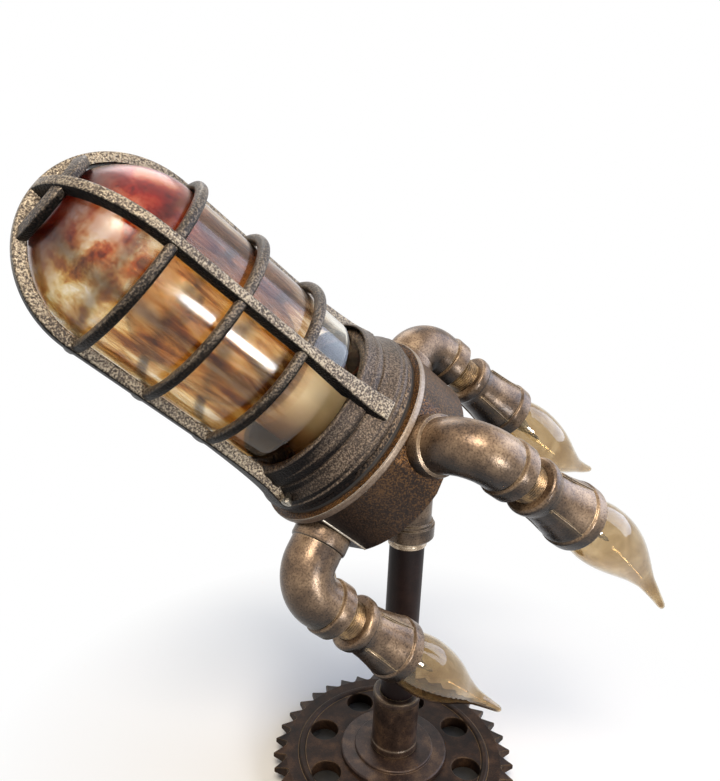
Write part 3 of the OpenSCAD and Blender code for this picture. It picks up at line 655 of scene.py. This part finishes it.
# Globe holder and its screws
# A flanged ring of cast aluminium, screwed to the box by four slotted screws. It has a dark bronze
# paint like the guard's.
holder_paint = hammered_paint("holder_paint", ("#090707", "#120e0d", "#221a16"),
                              ("#1a1411", "#4a3b30", "#8a7660"), "#8d7a62", spot=1.2, depth=0.8,
                              metallic=0.2, rough=0.45, gloss=0.3)
# Painted light and shade: the holder ring is paler where it looks up and near black where it looks down.
holder_ring = mark_painted_light(cad_copy("globe_holder", 28))
piece("holder_ring", holder_ring, holder_paint, "stand", "holder", "globe_holder")
piece("flange_screws", cad_copy("holder_screws", 28), bare_steel, "stand", "screw", "holder_screws")

# Lampholder
# Glazed porcelain with moulded rings, a brass screw shell inside it and a centre contact. The
# glaze is smooth and cream, with a slow drift of tone.
cream_glaze = plain_finish("cream_glaze", "#ecd2a0", "#f8e8c6", rough=0.2, patch=30, gloss=0.2)
# Drawn brass is bright yellow, a little dulled in patches.
plain_brass = worn_metal("plain_brass", ("#8f6f2c", "#c9a24a", "#e0c070"), "#f2dc9a",
                         patch=4, grain=0.4, wear_and_light=0.4, metallic=1.0, rough=0.25)
lampholder_outline = [(0, 1.2), (27, 1.2), (27, 10), (25, 12), (25, 14), (24.4, 14.5), (24.4, 15.3),
                      (25, 15.8), (25, 17.4), (24.4, 17.9), (24.4, 18.7), (25, 19.2), (25, 41.5),
                      (22.5, 45.5), (13.9, 45.5), (13.9, 13), (0, 13)]
lampholder = turned(lampholder_outline, 0.7)
lampholder.transform(rocket)
piece("lampholder_glazed", lampholder, cream_glaze, "stand", "porcelain", "lampholder")
dress("lampholder_shell", plain_brass)
dress("lampholder_contact", plain_brass)


# Main bulb
# A blown tube of thin amber glass with a round end, a pressed glass stem inside it, and a
# brass-coloured screw cap.
def clear_glass(name, tints, patch, rough=0.02):
    """Blown glass: clear, smooth, with a tint that drifts a little."""
    material, tree, shader, place = new_finish(name, Roughness=rough, IOR=1.47, Transmission_Weight=1.0)
    cloud = add(tree, "ShaderNodeTexNoise",
                {"Vector": place, "Scale": per_mm(patch), "Detail": 3, "Distortion": 1.2})
    tone = add(tree, "ShaderNodeValToRGB", {"Fac": cloud.outputs["Fac"]}, tints)
    tree.links.new(tone.outputs["Color"], shader.inputs["Base Color"])
    return material


def glass_shell(line, outline, wall, place):
    """A blown shell: the outer outline, and the same outline drawn in by the wall."""
    inner = []
    for i, (radius, distance) in enumerate(outline):
        before, after = outline[max(i - 1, 0)], outline[min(i + 1, len(outline) - 1)]
        run = Vector((after[0] - before[0], after[1] - before[1])).normalized()
        inner.append((max(0, radius - run.y * wall), distance + run.x * wall))
    inner[-1] = (0, outline[-1][1] - wall)
    mesh = mesh_of(swept(line, outline + inner[::-1], closed=True), 50)
    mesh.transform(place)
    return mesh


def dome(radius, centre, steps):
    """Outline of a round end, from its full radius to the axis."""
    turns = [math.radians(90 * k / steps) for k in range(steps)]
    return [(radius * math.cos(a), centre + radius * math.sin(a)) for a in turns] + [(0, centre + radius)]


main_bulb_r, main_bulb_wall = 31, 0.9
main_bulb_low, main_bulb_top = 76, 103.9

# The amber glass is slightly frosted, the cap plated a pale brass, and the stem milky grey.
amber_glass = clear_glass("amber_glass", [(0.3, "#edcb94"), (0.5, "#f6e0b8"), (0.7, "#fbf0dc")],
                          patch=20, rough=0.2)
cap_metal = worn_metal("cap_metal", ("#8f7a44", "#c9b073", "#dcc890"), "#f0e2b4",
                       patch=4, grain=0.4, wear_and_light=0.4, metallic=0.95, rough=0.3)
stem_glass = plain_finish("stem_glass", "#8d877c", "#b5aea0", rough=0.2)
bulb_outline = [(13.4, 43), (13.4, 49)]
for turn in (math.radians(28 + 62 * k / 14) for k in range(15)):
    bulb_outline.append((main_bulb_r * math.sin(turn), main_bulb_low - main_bulb_r * math.cos(turn)))
bulb_outline += dome(main_bulb_r, main_bulb_top, 20)
amber_bulb = glass_shell(straight, bulb_outline, main_bulb_wall, rocket)
piece("amber_bulb", amber_bulb, amber_glass, "main_bulb", "amber_glass", "main_bulb_glass")
dress("main_bulb_base", cap_metal)
piece("main_stem", cad_copy("main_bulb_stem"), stem_glass, "main_bulb", "stem", "main_bulb_stem")


# Globe
# A blown glass jar, screwed into the holder over the bulb. Its tints are painted reflection and shade: clear
# at the neck and painted darker gold below the axis, then streaked lengthwise with gold, brown along the
# top, mottled olive and red at the nose, and a red reflection on top of the nose.
def glass_with_painted_reflections(name):
    """Clear glass with painted reflections: streaks along the rocket's axis, a mottled nose with a red
    reflection on top, and painted shade below the axis.
    """
    material, tree, shader, place = new_finish(
        name, IOR=1.47, Transmission_Weight=1.0, Specular_IOR_Level=0.12)
    local = add(tree, "ShaderNodeMapping",
                {"Vector": place, "Location": rocket.translation, "Rotation": rocket.to_euler()},
                vector_type="TEXTURE").outputs[0]
    stretch = 6
    drawn = add(tree, "ShaderNodeMapping", {"Vector": local, "Scale": (1, 1, 1 / stretch)})
    streaks = add(tree, "ShaderNodeTexNoise",
                  {"Vector": drawn.outputs[0], "Scale": per_mm(6), "Detail": 6, "Roughness": 0.62,
                   "Distortion": 0.5})
    aside = add(tree, "ShaderNodeMapping", {"Vector": local, "Location": (0.11, 0.04, 0.07)})
    mottle = add(tree, "ShaderNodeTexNoise",
                 {"Vector": aside.outputs[0], "Scale": per_mm(10), "Detail": 6, "Roughness": 0.66,
                  "Distortion": 0.25})
    # Tints of the noise, from its lowest to its highest values
    streak_spread = (0.37, 0.43, 0.48, 0.53, 0.59)
    mottle_spread = (0.35, 0.42, 0.47, 0.52, 0.59)
    # Painted shade: pale above the axis and darker gold below it.
    tint = {"lit": linear("#fbf6ea"), "shaded": linear("#a07a44"), "maroon": linear("#7a2418")}
    # Painted reflections: each ramp stands in for what the glass reflects; most end in white, a painted
    # highlight.
    for label, noise, spread, codes in [
        ("gold", streaks, streak_spread, ("#7c4a1a", "#c48e46", "#e8c88a", "#f8ecd0", "#ffffff")),
        ("brown", streaks, streak_spread, ("#3c2014", "#7c4a2c", "#ac7a50", "#cfa67c", "#ecd6b8")),
        ("olive", mottle, mottle_spread, ("#6e3614", "#b0702c", "#d8ae5c", "#efdfae", "#ffffff")),
        ("clouds", mottle, mottle_spread, ("#641a10", "#b23c20", "#dc8850", "#f0d6b0", "#ffffff")),
        ("red_reflection", mottle, mottle_spread, ("#781006", "#b01c08", "#cc2e0e", "#d84a18", "#e88a44")),
    ]:
        tint[label] = add(tree, "ShaderNodeValToRGB", {"Fac": noise.outputs["Fac"]},
                          list(zip(spread, codes))).outputs["Color"]
    # Shares that grow between two places, in millimetres above the axis (X) or along it (Z)
    axes = add(tree, "ShaderNodeSeparateXYZ", {0: local}).outputs
    share = {}
    for label, axis, start, end, easing in [
        ("under", "X", 2, -24, "LINEAR"),
        ("top", "X", 14, 30, "SMOOTHSTEP"),
        ("mid", "X", -20, 6, "SMOOTHSTEP"),
        ("sides", "Z", 46, 66, "SMOOTHSTEP"),
        ("nose", "Z", 126, 150, "SMOOTHSTEP"),
        ("tip", "Z", 158, 180, "SMOOTHSTEP"),
    ]:
        share[label] = add(tree, "ShaderNodeMapRange",
                           {"Value": axes[axis], "From Min": start * mm, "From Max": end * mm},
                           interpolation_type=easing).outputs["Result"]
    # Each tint here goes from one to another by a share
    for label, part, low, high in [
        ("wall", "under", "lit", "shaded"),
        ("streaks", "top", "gold", "brown"),
        ("face", "mid", "olive", "clouds"),
        ("head", "top", "face", "red_reflection"),
        ("wall", "sides", "wall", "streaks"),
        ("wall", "nose", "wall", "head"),
        ("wall", "tip", "wall", "maroon"),
    ]:
        tint[label] = add(tree, "ShaderNodeMix", {"Factor": share[part], 6: tint[low], 7: tint[high]},
                          data_type="RGBA").outputs[2]
    haze = add(tree, "ShaderNodeMath", {0: share["sides"], 1: 0.1, 2: 0.02}, operation="MULTIPLY_ADD")
    rough = add(tree, "ShaderNodeMath", {0: share["nose"], 1: 0.12, 2: haze.outputs[0]},
                operation="MULTIPLY_ADD")
    tree.links.new(tint["wall"], shader.inputs["Base Color"])
    tree.links.new(rough.outputs[0], shader.inputs["Roughness"])
    return material


globe_neck_r, globe_r, globe_wall, globe_lip = 40.14, 43.3, 2.4, 6.2
holder_top, dome_s = 27, 139.3

reflection_tinted_glass = glass_with_painted_reflections("reflection_tinted_glass")
globe_outline = [(globe_neck_r, globe_lip), (globe_neck_r, holder_top + 1)]
for k in range(1, 9):
    swell = (1 - math.cos(math.pi * k / 8)) / 2
    globe_outline.append((globe_neck_r + (globe_r - globe_neck_r) * swell, holder_top + 1 + 1.5 * k))
globe_outline += dome(globe_r, dome_s, 28)
glass_globe = glass_shell(straight, globe_outline, globe_wall, rocket)
piece("glass_globe", glass_globe, reflection_tinted_glass, "globe", "globe_glass", "globe")


# Guard
# A cast aluminium cage: four bars that meet at the nose, three hoops, a nose ring and a skirt
# that screws on the holder. The paint is near black and stippled, painted paler where it looks up and near
# black where it looks down, as painted light and shade, palest on the bars.
def repeated(name, mesh, finish, count, offset, turn):
    """Copies of a mesh along an offset, turned about Z, as one plain mesh made by Geometry Nodes."""
    tree = bpy.data.node_groups.new(name, "GeometryNodeTree")
    sockets = {}
    for label, kind in [("Geometry", "Geometry"), ("Count", "Int"), ("Offset", "Vector"),
                        ("Turn", "Float"), ("Finish", "Material")]:
        sockets[label] = tree.interface.new_socket(label, in_out="INPUT", socket_type="NodeSocket" + kind)
    tree.interface.new_socket("Geometry", in_out="OUTPUT", socket_type="NodeSocketGeometry")
    given = add(tree, "NodeGroupInput").outputs
    line = add(tree, "GeometryNodeMeshLine", {"Count": given["Count"], "Offset": given["Offset"]},
               mode="OFFSET")
    index = add(tree, "GeometryNodeInputIndex")
    angle = add(tree, "ShaderNodeMath", {0: index.outputs[0], 1: given["Turn"]}, operation="MULTIPLY")
    spin = add(tree, "ShaderNodeCombineXYZ", {"Z": angle.outputs[0]})
    copies = add(tree, "GeometryNodeInstanceOnPoints",
                 {"Points": line.outputs[0], "Instance": given["Geometry"], "Rotation": spin.outputs[0]})
    real = add(tree, "GeometryNodeRealizeInstances", {0: copies.outputs[0]})
    painted = add(tree, "GeometryNodeSetMaterial", {0: real.outputs[0], "Material": given["Finish"]})
    add(tree, "NodeGroupOutput", {0: painted.outputs[0]})
    holder = bpy.data.objects.new(name, mesh)
    scene.collection.objects.link(holder)
    modifier = holder.modifiers.new("repeat", "NODES")
    modifier.node_group = tree
    for label, value in [("Count", count), ("Offset", offset), ("Turn", turn), ("Finish", finish)]:
        modifier[sockets[label].identifier] = value
    bpy.context.view_layer.update()
    made = holder.evaluated_get(bpy.context.evaluated_depsgraph_get())
    result = bpy.data.meshes.new_from_object(made)
    holder.modifiers.remove(modifier)
    bpy.data.objects.remove(holder)
    return result


hoop_r, hoop_gap, hoop_low = 49.8, 37.2, 62.5
hoop_t, hoop_half = 5.6, 2.6
bar_in_r, bar_out_r = hoop_r - 5.5, hoop_r + 0.5
bar_w, bar_draft = 5.0, 1.3
foot_in_r, foot_top = 47.4, 61
base_hoop_s = 21.5
guard_dome_s = hoop_low + 2 * hoop_gap + 3
skirt_low = 6
skirt_bore_r = 46.56
foot_low = skirt_low + 4.6
strap_angle = math.radians(27)
strap_r, strap_half, strap_wide = bar_in_r + 2.3, 2.3, 3.2

# One hammered paint in three tones, palest on the bars and darker on the hoops and the skirt; each is
# painted paler where it looks up and darker where it looks down, as painted light and shade.
guard_bars_paint = hammered_paint("guard_bars_paint", ("#060505", "#0d0b0a", "#1c1816"),
                                  ("#3a2f26", "#776958", "#b0a28b"), "#d6cab4", spot=0.95, depth=1.0,
                                  metallic=0.3, rough=0.34, gloss=0.5)
guard_hoop_paint = hammered_paint("guard_hoop_paint", ("#070605", "#120e0b", "#261f1a"),
                                  ("#1e1814", "#483d33", "#827463"), "#9c8d78", spot=0.95, depth=1.0,
                                  metallic=0.25, rough=0.36, gloss=0.4)
guard_skirt_paint = hammered_paint("guard_skirt_paint", ("#060505", "#0d0a0a", "#1b1614"),
                                   ("#2c221a", "#4f4135", "#78695a"), "#8a7a68", spot=0.85, depth=0.9,
                                   metallic=0.2, rough=0.38, gloss=0.35)


def bar_mesh():
    """One bar: a drafted strip from its wide foot up the side and over to the nose, mitred there."""
    bm = bmesh.new()
    feet = [(foot_low, 55.4, 10.6, foot_in_r), (14, 54.9, 10.4, foot_in_r), (19, 53.6, 9.9, foot_in_r),
            (24, 52.6, 9.4, 47.2), (29.5, 52.0, 8.8, 47), (33, 51.7, 8.3, bar_in_r),
            (40, 51.2, 7.5, bar_in_r), (50, 50.7, 6.4, bar_in_r), (foot_top, bar_out_r, 5.2, bar_in_r)]
    feet += [(foot_top + (guard_dome_s - foot_top) * k / 12, bar_out_r, bar_w, bar_in_r)
             for k in range(1, 13)]
    stations = [(s, r_out, wide, r_in, 0) for s, r_out, wide, r_in in feet]
    stations += [(guard_dome_s, bar_out_r, bar_w, bar_in_r, k / 30) for k in range(1, 31)]
    rows = []
    for s, r_out, wide, r_in, share in stations:
        outer, inner = wide / 2, wide / 2 + bar_draft
        shape = eased([(-inner, r_in), (inner, r_in), (outer, r_out), (-outer, r_out)], 1.1)
        row = []
        for y, r in shape:
            turn = share * math.acos(min(1, abs(y) / r))
            row.append(bm.verts.new(Vector((r * math.cos(turn), y, s + r * math.sin(turn))) * mm))
        rows.append(row)
    n = len(rows[0])
    for low, high in zip(rows, rows[1:]):
        for k in range(n):
            bm.faces.new([low[k], low[(k + 1) % n], high[(k + 1) % n], high[k]])
    bm.faces.new(rows[0][::-1])
    return mesh_of(bm, 40)


bars = repeated("guard_bars", bar_mesh(), guard_bars_paint, 4, (0, 0, 0), math.pi / 2)
bars.transform(rocket @ Matrix.Rotation(hub_turn(1), 4, "Z"))
hoop_outline = [(hoop_r - hoop_t, -hoop_half), (hoop_r, -hoop_half), (hoop_r, hoop_half),
                (hoop_r - hoop_t, hoop_half)]
hoop = turned(hoop_outline, 2.3, sides=128, sharp=60, steps=5)
hoops = repeated("guard_hoops", hoop, guard_hoop_paint, 3, (0, 0, hoop_gap * mm), 0.0)
hoops.transform(rocket @ Matrix.Translation((0, 0, hoop_low * mm)))
for mesh in (bars, hoops):
    mesh.shade_smooth()
    mesh.set_sharp_from_angle(angle=math.radians(40))
skirt_outline = [(rim_r - 4.4, skirt_low), (rim_r - 2.8, skirt_low), (rim_r - 2.6, skirt_low + 2.4),
                 (rim_r - 3.6, skirt_low + 3.2), (rim_r - 3.8, skirt_low + 5),
                 (hoop_r + 0.6, base_hoop_s - 6), (hoop_r - 0.4, base_hoop_s - 3.6),
                 (hoop_r - 1.4, base_hoop_s - 3.2),
                 (hoop_r - 1.4, base_hoop_s - 2.6), (hoop_r - 0.2, base_hoop_s - 2), (hoop_r, base_hoop_s),
                 (hoop_r - 0.2, base_hoop_s + 1.6), (hoop_r - 0.8, base_hoop_s + 2.6),
                 (skirt_bore_r + 1.74, holder_top + 0.4), (skirt_bore_r + 1.74, holder_top + 2.2),
                 (skirt_bore_r + 0.94, holder_top + 3), (skirt_bore_r, holder_top + 3),
                 (skirt_bore_r, skirt_low + 4.4), (rim_r - 4.4, skirt_low + 3.2)]
skirt = turned(skirt_outline, 0.4, sides=128)
skirt.transform(rocket)
slope = Vector((math.sin(strap_angle), math.cos(strap_angle)))
down = Vector((math.cos(strap_angle), -math.sin(strap_angle)))
middle = slope * strap_r + Vector((0, guard_dome_s))
strap = [middle + slope * a * strap_half + down * b * strap_wide
         for a, b in ((-1, -1), (1, -1), (1, 1), (-1, 1))]
nose_ring = turned(strap, 1.2, sharp=60, steps=4)
nose_ring.transform(rocket)
# Painted light and shade: bars, hoops, skirt and nose ring are paler where they look up and near black where
# they look down.
piece("guard_bars", mark_painted_light(bars), guard_bars_paint, "guard", "guard", "guard_cage")
piece("guard_hoops", mark_painted_light(hoops), guard_hoop_paint, "guard", "guard", "guard_cage")
piece("guard_skirt", mark_painted_light(skirt), guard_skirt_paint, "guard", "guard", "guard_cage")
piece("guard_nose_ring", mark_painted_light(nose_ring), guard_hoop_paint, "guard", "guard", "guard_cage")
thumb_screw = cad_copy("guard_set_screw", 28)
piece("thumb_screw", thumb_screw, bare_steel, "guard_screw", "screw", "guard_set_screw")


# Thrusters
# Each one is a street elbow in a side hub, a threaded nipple, a ribbed bell reducer, a moulded
# candle socket and a flame bulb. The fittings are bronzed malleable iron, the bulbs tinted glass.
def curve(p, t):
    """Point on a cubic curve between p[0] and p[3]."""
    weights = ((1 - t) ** 3, 3 * t * (1 - t) ** 2, 3 * t * t * (1 - t), t ** 3)
    return tuple(sum(w * q[i] for w, q in zip(weights, p)) for i in (0, 1))


def flame_line(lean, start):
    """A line straight along the bulb that curves over from the start by the lean at the tip."""
    run = flame_end - start

    def line(distance):
        part = max(0, distance - start) / run
        along = Vector((2 * lean * part / run, 0, 1)).normalized()
        return Vector((lean * part ** 2, 0, distance)), along
    return line


def bevelled_slab(shape, half, bevel):
    """A flat slab of (x, z) points, half its thickness to each side, with its edges rounded."""
    bm = bmesh.new()
    near, far = ([bm.verts.new(Vector((x, y, z)) * mm) for x, z in shape] for y in (-half, half))
    bm.faces.new(near)
    bm.faces.new(far[::-1])
    for i in range(len(shape)):
        after = (i + 1) % len(shape)
        bm.faces.new([near[i], near[after], far[after], far[i]])
    bmesh.ops.recalc_face_normals(bm, faces=bm.faces)
    bmesh.ops.bevel(bm, geom=bm.edges, offset=bevel * mm, segments=3, affect="EDGES")
    return mesh_of(bm, 50)


bend_r, elbow_len = 17, 30.4
bend_arc = bend_r * math.pi / 2
elbow_r = pipe_r + 3.8
elbow_end = bend_arc + elbow_len - bend_r
thread_turns, thread_low = 14, elbow_len - 4
reducer_low, reducer_len = 42.4, 42.3
thread_pitch = (reducer_low + 4 - thread_low) / thread_turns
nipple_low, nipple_top = bend_r + 3, reducer_low + 11
big_band_r = band_r + 2.85
mouth_r = big_band_r - 5.4
candle_r = 5.9
flame_r, flame_len, flame_wall = 17.5, 96, 0.8
flame_end = socket_mouth + flame_len - 2
flame_wide = socket_mouth + 0.28 * flame_len
tip_turns = [-26, 76, -91]
tip_leans = [(13.6, 128), (17.3, 112), (10.1, 135)]

# Cut threads catch the light, so the nipple is brighter than the castings. The socket is satin
# near-black plastic, the stem milky grey, and the flame's thin glass a pale smoky amber.
nipple_bronze = worn_metal("nipple_bronze", ("#33261b", "#6e563c", "#a88a60"), "#d8bd8c",
                           patch=6, grain=0.7, wear_and_light=0.5, metallic=0.4, rough=0.3)
dark_plastic = plain_finish("dark_plastic", "#211d1a", "#332c28", rough=0.5)
stem_grey = plain_finish("stem_grey", "#8f96a4", "#c6cad2", rough=0.16)
flame_glass = clear_glass("flame_glass", [(0.3, "#b9a27e"), (0.55, "#d2bf9e"), (0.8, "#e8dcc4")], patch=18)

elbow_line = bent(Vector((-bend_r, 0, 0)), Vector((1, 0, 0)), Vector((0, 0, 1)), bend_r, math.pi / 2)
elbow_band = [(elbow_r, elbow_end - 10.4), (elbow_r - 0.5, elbow_end - 10), (elbow_r - 0.5, elbow_end - 9.3),
              (band_r - 0.4, elbow_end - 8.8), (band_r, elbow_end - 8.2), (band_r, elbow_end - 0.6),
              (band_r - 0.6, elbow_end), (0, elbow_end)]
thread = [(pipe_bore_r, nipple_low), (pipe_r - 0.6, nipple_low)]
for z in (thread_low + thread_pitch * i for i in range(thread_turns)):
    thread += [(pipe_r - 0.7, z), (pipe_r, z + thread_pitch * 0.45), (pipe_r, z + thread_pitch * 0.6)]
thread += [(pipe_r - 0.6, nipple_top), (pipe_bore_r, nipple_top)]
bell = [(pipe_r + seat_gap, 0), (band_r - 1.2, 0), (band_r - 0.1, 0.9), (band_r + 0.2, 2.4),
        (band_r - 0.1, 5.4), (band_r - 1.2, 6.8), (band_r - 1.6, 10), (band_r - 0.9, 18), (band_r + 0.5, 26),
        (big_band_r - 1.2, 31), (big_band_r - 0.9, 32.6), (big_band_r - 1.5, 33), (big_band_r - 1.5, 33.6),
        (big_band_r - 0.4, 34.1), (big_band_r, 34.8), (big_band_r, 41.4), (big_band_r - 0.8, reducer_len),
        (mouth_r, reducer_len), (mouth_r, 16), (pipe_bore_r, 16), (pipe_bore_r, 11), (pipe_r + seat_gap, 11)]
bell = [(r, z + reducer_low) for r, z in bell]
rib_shape = [(band_r - 2.4, 8), (band_r - 0.7, 9), (band_r + 0.7, 22), (big_band_r - 0.4, 33.9),
             (band_r - 1, 33.9)]
rib = bevelled_slab([(r, z + reducer_low) for r, z in rib_shape], half=1.3, bevel=0.7)
rib.transform(Matrix.Rotation(math.radians(45), 4, "Z"))
bell_ribs = repeated("bell_ribs", rib, fitting_bronze, 4, (0, 0, 0), math.pi / 2)
shoulder = [(candle_r + 0.6, socket_mouth + 0.3), (11, socket_mouth + 0.5), (flame_r, socket_mouth + 12),
            (flame_r, flame_wide)]
taper = [(flame_r, flame_wide), (flame_r, flame_wide + 21), (10.5, flame_end - 35), (5.2, flame_end - 19)]
drawn_tip = [(4.4, 15), (3.7, 11), (3.1, 7.5), (2.6, 4.5), (2.2, 2.2), (1.6, 0.8), (0.8, 0.15), (0, 0)]
flame_outline = [curve(shoulder, k / 14) for k in range(14)] + [curve(taper, k / 24) for k in range(25)]
flame_outline += [(radius, flame_end - gap) for radius, gap in drawn_tip]
stem_rise = [(0, 0.6), (4.2, 0.6), (5.4, 3), (5.9, 7), (5.5, 12), (4.2, 17), (2.7, 22), (1.7, 27), (1.1, 33),
             (0, 36)]
stem_outline = [(radius, socket_mouth + rise) for radius, rise in stem_rise]

for k in (1, 2, 3):
    place, reach = thruster(k)
    leg = reach - flat_r
    hub = bend_r - leg
    # The low elbow has a slimmer collar
    collar = elbow_r + 1.1 if k == 3 else band_r + 0.5
    outline = [(0, hub), (collar - 0.4, hub), (collar, hub + 0.5), (collar, hub + 6.8),
               (collar - 0.3, hub + 7.8), (elbow_r, hub + 8.4)]
    outline += [(elbow_r, bend_arc * i / 24) for i in range(25) if bend_arc * i / 24 > hub + 9]
    cast = swept(elbow_line, outline + elbow_band, sides=72)
    web = min(24, leg - 1)
    cast.from_mesh(bevelled_slab([(-10, 10), (-web, 10), (-10, 24)], half=2.6, bevel=0.8))
    elbow = mesh_of(cast)
    nipple = mesh_of(swept(straight, thread, closed=True, sides=72))
    shell = swept(straight, eased(bell, 0.4), closed=True, sides=72)
    shell.from_mesh(bell_ribs)
    reducer = mesh_of(shell)
    stem = mesh_of(swept(straight, stem_outline), 60)
    for mesh in (elbow, nipple, reducer, stem):
        mesh.transform(place)
    # Painted light and shade: the elbow and the reducer are paler where they look up and near black where
    # they look down.
    for mesh in (elbow, reducer):
        mark_painted_light(mesh, *fitting_lit_range)
    piece(f"elbow_{k}_cast", elbow, fitting_bronze, "stand", "fitting", f"elbow_{k}")
    piece(f"nipple_{k}_threaded", nipple, nipple_bronze, "stand", "nut", f"nipple_{k}")
    piece(f"reducer_{k}_cast", reducer, fitting_bronze, "stand", "fitting", f"reducer_{k}")
    dress(f"candle_socket_{k}", dark_plastic)
    dress(f"candle_shell_{k}", plain_brass)
    dress(f"flame_base_{k}", cap_metal)
    tilted = place @ Matrix.Rotation(math.radians(tip_turns[k - 1]), 4, "Z")
    flame = glass_shell(flame_line(*tip_leans[k - 1]), flame_outline, flame_wall, tilted)
    piece(f"flame_{k}_glass", flame, flame_glass, f"flame_bulb_{k}", "flame_glass", f"flame_glass_{k}")
    piece(f"flame_{k}_stem", stem, stem_grey, f"flame_bulb_{k}", "stem", f"flame_stem_{k}")

# Studio
# A pale floor that fades to white, and a white surround that metal and glass reflect. A warm soft
# light from the upper left, a cool one from the right, a weak one behind and a strip for the globe.
floor_half = 6.0
fade_from, fade_to = 0.085, 0.28
fill_strength = 0.09

floor_mesh = bpy.data.meshes.new("studio_floor")
floor_corners = [(x * floor_half, y * floor_half, 0) for x, y in ((-1, -1), (1, -1), (1, 1), (-1, 1))]
floor_mesh.from_pydata(floor_corners, [], [(0, 1, 2, 3)])
floor = bpy.data.objects.new("studio_floor", floor_mesh)
floor.location.z = cad_box[0].z
scene.collection.objects.link(floor)
pale, tree, shader, place = new_finish("pale_floor", Roughness=0.9)
shader.inputs["Base Color"].default_value = linear("#f2f1ef")
dim = add(tree, "ShaderNodeBsdfDiffuse", {"Color": linear("#6f6c68")})
ray = add(tree, "ShaderNodeLightPath")
bounced = add(tree, "ShaderNodeMixShader",
              {0: ray.outputs["Is Diffuse Ray"], 1: shader.outputs[0], 2: dim.outputs[0]})
far = add(tree, "ShaderNodeVectorMath", {0: place}, operation="LENGTH")
fade = add(tree, "ShaderNodeMapRange",
           {"Value": far.outputs["Value"], "From Min": fade_from, "From Max": fade_to})
kept = add(tree, "ShaderNodeMath", {0: 1.0, 1: ray.outputs["Is Diffuse Ray"]}, operation="SUBTRACT")
share = add(tree, "ShaderNodeMath", {0: fade.outputs["Result"], 1: kept.outputs[0]}, operation="MULTIPLY")
white = add(tree, "ShaderNodeEmission", {"Color": (1, 1, 1, 1), "Strength": 1.0})
mixed = add(tree, "ShaderNodeMixShader", {0: share.outputs[0], 1: bounced.outputs[0], 2: white.outputs[0]})
tree.links.new(mixed.outputs[0], tree.nodes["Material Output"].inputs["Surface"])
floor_mesh.materials.append(pale)

world = bpy.data.worlds.new("white_surround")
scene.world = world
world.use_nodes = True
tree = world.node_tree
ray = add(tree, "ShaderNodeLightPath")
seen = add(tree, "ShaderNodeMath",
           {0: ray.outputs["Is Camera Ray"], 1: ray.outputs["Is Glossy Ray"]}, operation="MAXIMUM")
shown = add(tree, "ShaderNodeMath",
            {0: seen.outputs[0], 1: ray.outputs["Is Transmission Ray"]}, operation="MAXIMUM")
strength = add(tree, "ShaderNodeMapRange",
               {"Value": shown.outputs[0], "To Min": fill_strength, "To Max": 1.0})
surround = tree.nodes["Background"]
surround.inputs["Color"].default_value = (1, 1, 1, 1)
tree.links.new(strength.outputs["Result"], surround.inputs["Strength"])

for name, spot, aim, size, watts, tint in [
    ("warm_key", (-0.35, -0.75, 1.35), (-0.05, 0, 0.22), (0.5, 0.5), 19, "#fff2e0"),
    ("cool_side", (1.1, -0.2, 0.75), (0, 0, 0.22), (1.2, 1.2), 13, "#c9dcff"),
    ("top_back", (0.1, 0.9, 1.1), (-0.05, 0, 0.22), (0.6, 0.6), 3, "#ffffff"),
    ("window_strip", (0.112, -0.70, 0.238), (-0.11, -0.04, 0.3), (0.12, 0.2), 2.6, "#ffffff"),
]:
    lamp = bpy.data.lights.new(name, "AREA")
    lamp.shape = "RECTANGLE"
    lamp.size, lamp.size_y = size
    lamp.energy = watts
    lamp.color = linear(tint)[:3]
    holder = bpy.data.objects.new(name, lamp)
    holder.location = spot
    towards = (Vector(spot) - Vector(aim)).normalized()
    length = (nose - towards * nose.dot(towards)).normalized()
    holder.rotation_euler = Matrix((length.cross(towards), length, towards)).transposed().to_euler()
    holder.visible_camera = False
    scene.collection.objects.link(holder)

scene.view_settings.view_transform = "Standard"
